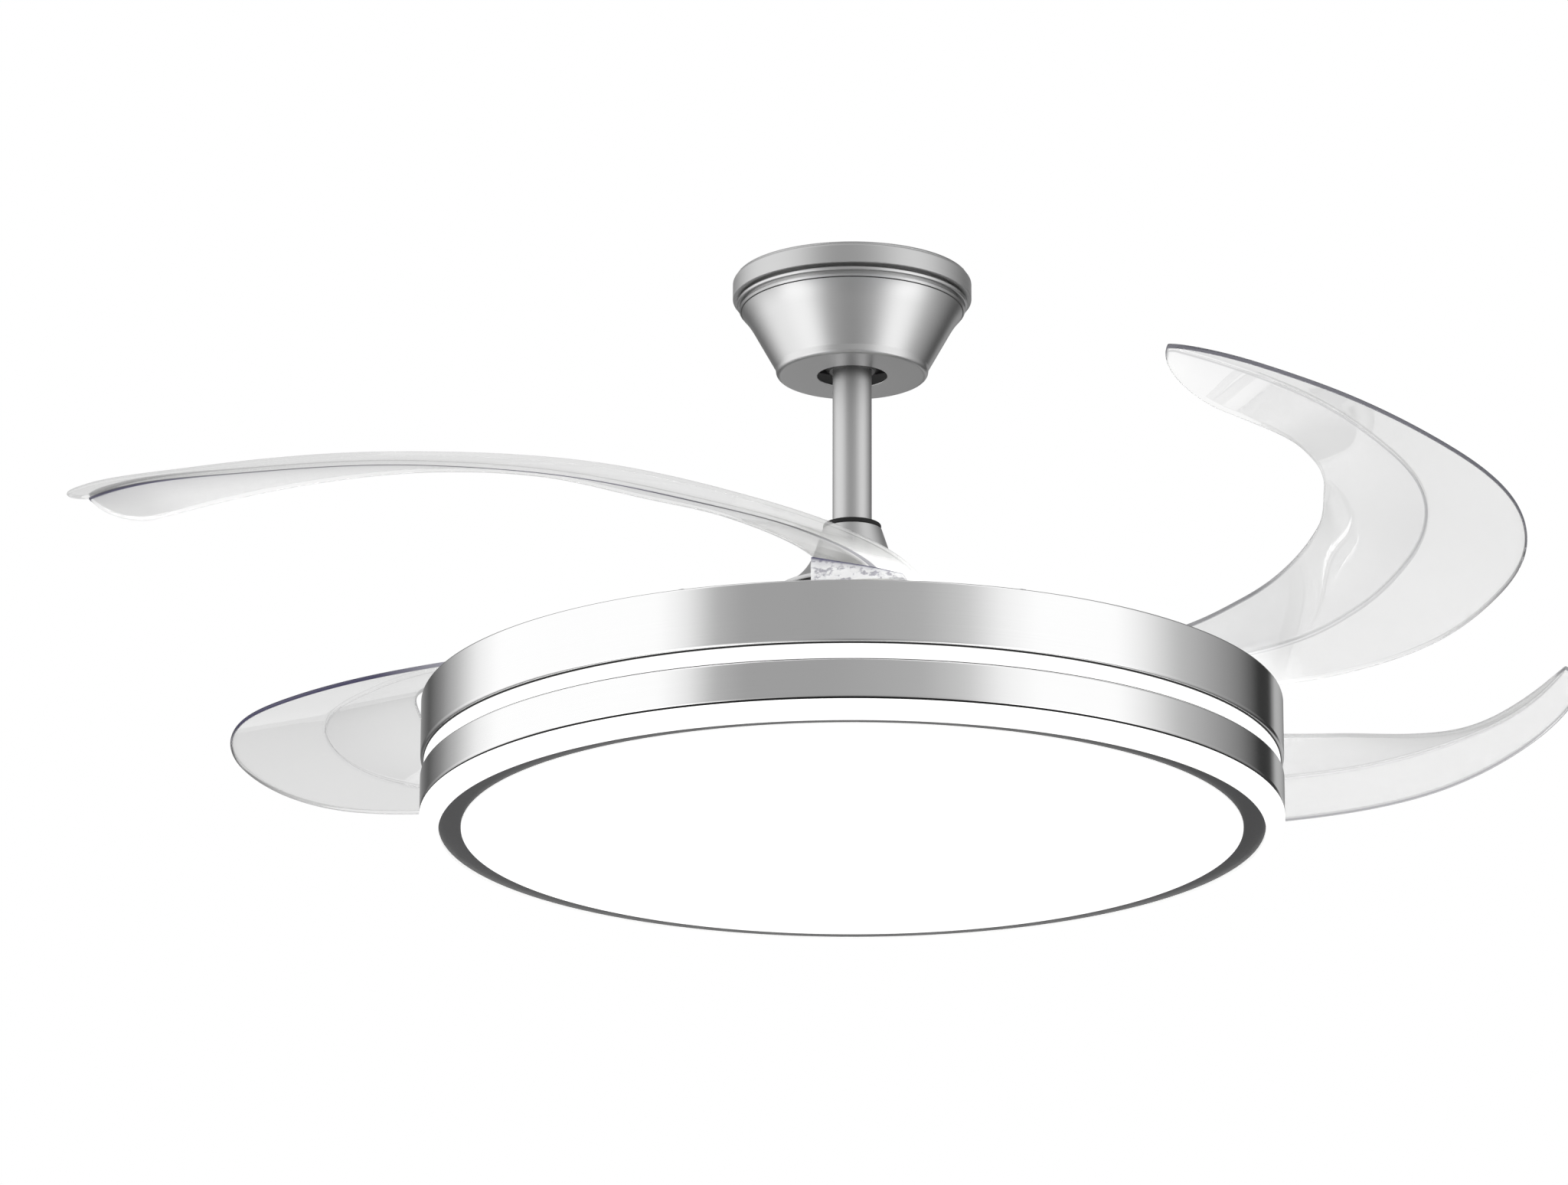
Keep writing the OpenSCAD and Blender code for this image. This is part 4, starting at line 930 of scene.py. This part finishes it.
def ring_grid(bm, rim, cells):
    """Closes a four-sided ring of points with a grid."""
    bottom = rim[:cells + 1]
    right = rim[cells:2 * cells + 1]
    top = rim[2 * cells:3 * cells + 1][::-1]
    left = [rim[0], *rim[:3 * cells - 1:-1]]
    rows = [bottom]
    for j in range(1, cells):
        row = [left[j]]
        for i in range(1, cells):
            x, y = i / cells, j / cells
            row.append(bm.verts.new(
                (1 - y) * bottom[i].co + y * top[i].co + (1 - x) * left[j].co + x * right[j].co
                - (1 - x) * (1 - y) * bottom[0].co - x * (1 - y) * bottom[-1].co
                - (1 - x) * y * top[0].co - x * y * top[-1].co
            ))
        rows.append([*row, right[j]])
    rows.append(top)
    for one, two in zip(rows, rows[1:]):
        for i in range(cells):
            bm.faces.new((one[i], one[i + 1], two[i + 1], two[i]))


def blades():
    pivots = {joint["name"]: Vector(joint["pos_m"]) for joint in frame["joints"]}
    spread = Matrix.Rotation(math.radians(FOLD_ANGLE), 4, "Z")
    for i, ink in EDGE_SHADE.items():
        pivot = pivots[f"blade_{i}_fold"]
        pivot_r = pivot.xy.length
        turn = Matrix.Rotation(math.atan2(pivot.y, pivot.x), 4, "Z")
        height = Matrix.Translation((0, 0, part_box(f"root_block_{i}")[0].z + BLADE_T / 2))
        about = height @ turn @ Matrix.Translation((pivot_r, 0, 0)) @ spread
        name = f"clear_blade_{i}"
        mesh = leaf_mesh(name, about, pivot_r, ink)
        leaf = piece(name, mesh, f"blade_{i}", "clear_plastic", CLEAR, f"blade_leaf_{i}")
        name = f"clear_root_block_{i}"
        mesh = block_mesh(name, about, pivot_r)
        block = piece(name, mesh, f"blade_{i}", "clear_plastic", FROSTED, f"root_block_{i}")
        leaf.visible_glossy = block.visible_glossy = False


canopy()
downrod()
gasket()
coupling_cover()
motor()
metal_band("drum_upper_band", "upper_band")
metal_band("drum_lower_band", "lower_band")
lit_band()
rim_ring()
diffuser()
blades()


# ---- Studio: floor, world, lamps and camera

def floor():
    """Pale floor that glows to the camera and through clear plastic, and is open from below."""
    reach, level = 60.0, -2.5
    corners = [(-reach, -reach), (reach, -reach), (reach, reach), (-reach, reach)]
    mesh = bpy.data.meshes.new("floor")
    mesh.from_pydata([(x, y, level) for x, y in corners], [], [(0, 1, 2, 3)])
    made = placed("floor", mesh)
    m = Finish("pale_floor")
    tone = m.blend(m.noise(m.place(), 3), (0.88, 0.88, 0.88), (0.9, 0.9, 0.9))
    paint = m.node("ShaderNodeBsdfDiffuse", None, {"Color": tone})
    glow = m.node("ShaderNodeEmission", None, {"Color": (1, 1, 1), "Strength": 1.0})
    nothing = m.node("ShaderNodeBsdfTransparent")
    below = m.node("ShaderNodeNewGeometry", out="Backfacing")
    glows = m.ray("Camera") * 0.5 + m.ray("Transmission")
    top = m.node("ShaderNodeMixShader", None, {0: glows, 1: paint, 2: glow})
    m.finish(m.node("ShaderNodeMixShader", None, {0: below, 1: top, 2: nothing}))
    mesh.materials.append(m.owner)
    made.visible_glossy = False


def world():
    """White where the camera looks. Metal shows a studio with two wide bright panels, left and
    right of the camera, and greyer walls between them; below, the panels' pools of light."""
    plain_light = (0.6, 0.6, 0.6)
    wall_light, pool_light = 1.42, 2.0
    pool_edge, pool_sharpness = -0.4, 4.0
    made = bpy.data.worlds.new("studio")
    bpy.context.scene.world = made
    m = Finish("studio", made)
    way = m.node("ShaderNodeTexCoord", out="Generated")
    x, y, z = (m.axis(way, name) for name in "XYZ")
    turn = m.node("ShaderNodeMath", {"operation": "ARCTAN2"}, {0: x, 1: y * -1.0})
    turn = turn / (2 * math.pi) + 0.5

    def walls(levels):
        """Levels of light by the angle from the camera, in degrees, left of it below 0."""
        stops = [(angle / 360 + 0.5, level) for angle, level in levels]
        return m.node("ShaderNodeValToRGB", {"stops": stops}, {0: turn}, "Color")

    sides = walls([
        (-180, 0.42), (-168, 0.2), (-154, 0.07), (-142, 0.2), (-130, 0.45), (-118, 0.82),
        (-108, 0.97), (-52, 0.97), (-44, 0.8), (-36, 0.42), (-28, 0.33), (-6, 0.33), (18, 0.4),
        (30, 0.55), (40, 0.85), (50, 0.97), (74, 0.97), (84, 0.78), (96, 0.48), (110, 0.33),
        (124, 0.2), (138, 0.03), (148, 0.03), (154, 0.4), (161, 0.34), (172, 0.16)
    ])
    under = walls([
        (-180, 0.28), (-125, 0.12), (-100, 0.4), (-85, 1.0), (-60, 1.0), (-35, 0.3), (0, 0.16),
        (35, 0.3), (60, 1.0), (85, 1.0), (100, 0.4), (125, 0.12), (180, 0.28)
    ])
    lower = m.node(
        "ShaderNodeMath", {"operation": "MULTIPLY", "use_clamp": True},
        {0: pool_edge - z, 1: pool_sharpness}
    )
    room = m.blend(lower, sides * wall_light, under * pool_light)
    camera_ray, through, gloss = (m.ray(kind) for kind in ("Camera", "Transmission", "Glossy"))
    seen = m.blend(gloss, plain_light, room)
    white = m.node("ShaderNodeMath", {"operation": "MAXIMUM"}, {0: camera_ray, 1: through})
    colour = m.blend(white, seen, (1.0, 1.0, 1.0))
    m.finish(m.node("ShaderNodeBackground", None, {"Color": colour}))


def softbox(name, azimuth):
    """A lamp that faces the drum, with its own surface as bright as glow."""
    size = 2.4
    distance, height = 3.0, 0.5
    glow = 1.7
    aim = Vector((0, 0, -0.3))
    data = bpy.data.lights.new(name, "AREA")
    data.size = size
    data.energy = glow * math.pi * size * size
    made = placed(name, data)
    made.visible_glossy = False
    a = math.radians(azimuth)
    made.location = (distance * math.sin(a), -distance * math.cos(a), height)
    made.rotation_euler = (aim - made.location).to_track_quat("-Z", "Y").to_euler()


def camera():
    """The photograph's view, from below the drum. The first row is in the picture's pixels."""
    picture_width, focal, off_centre = 2048, 10546.8, 89
    film = 36
    distance, drop, upward = 4.5, 1.5841, 17.17
    data = bpy.data.cameras.new("photo_view")
    data.sensor_width = film
    data.lens = film * focal / picture_width
    data.shift_x = -off_centre / picture_width
    data.clip_end = 100
    made = placed("photo_view", data)
    made.location = (0, -distance, -drop)
    made.rotation_euler = (math.radians(90 + upward), 0, 0)
    bpy.context.scene.camera = made


floor()
world()
softbox("left_softbox", -62)
softbox("right_softbox", 62)
camera()
bpy.context.scene.view_settings.view_transform = "Standard"
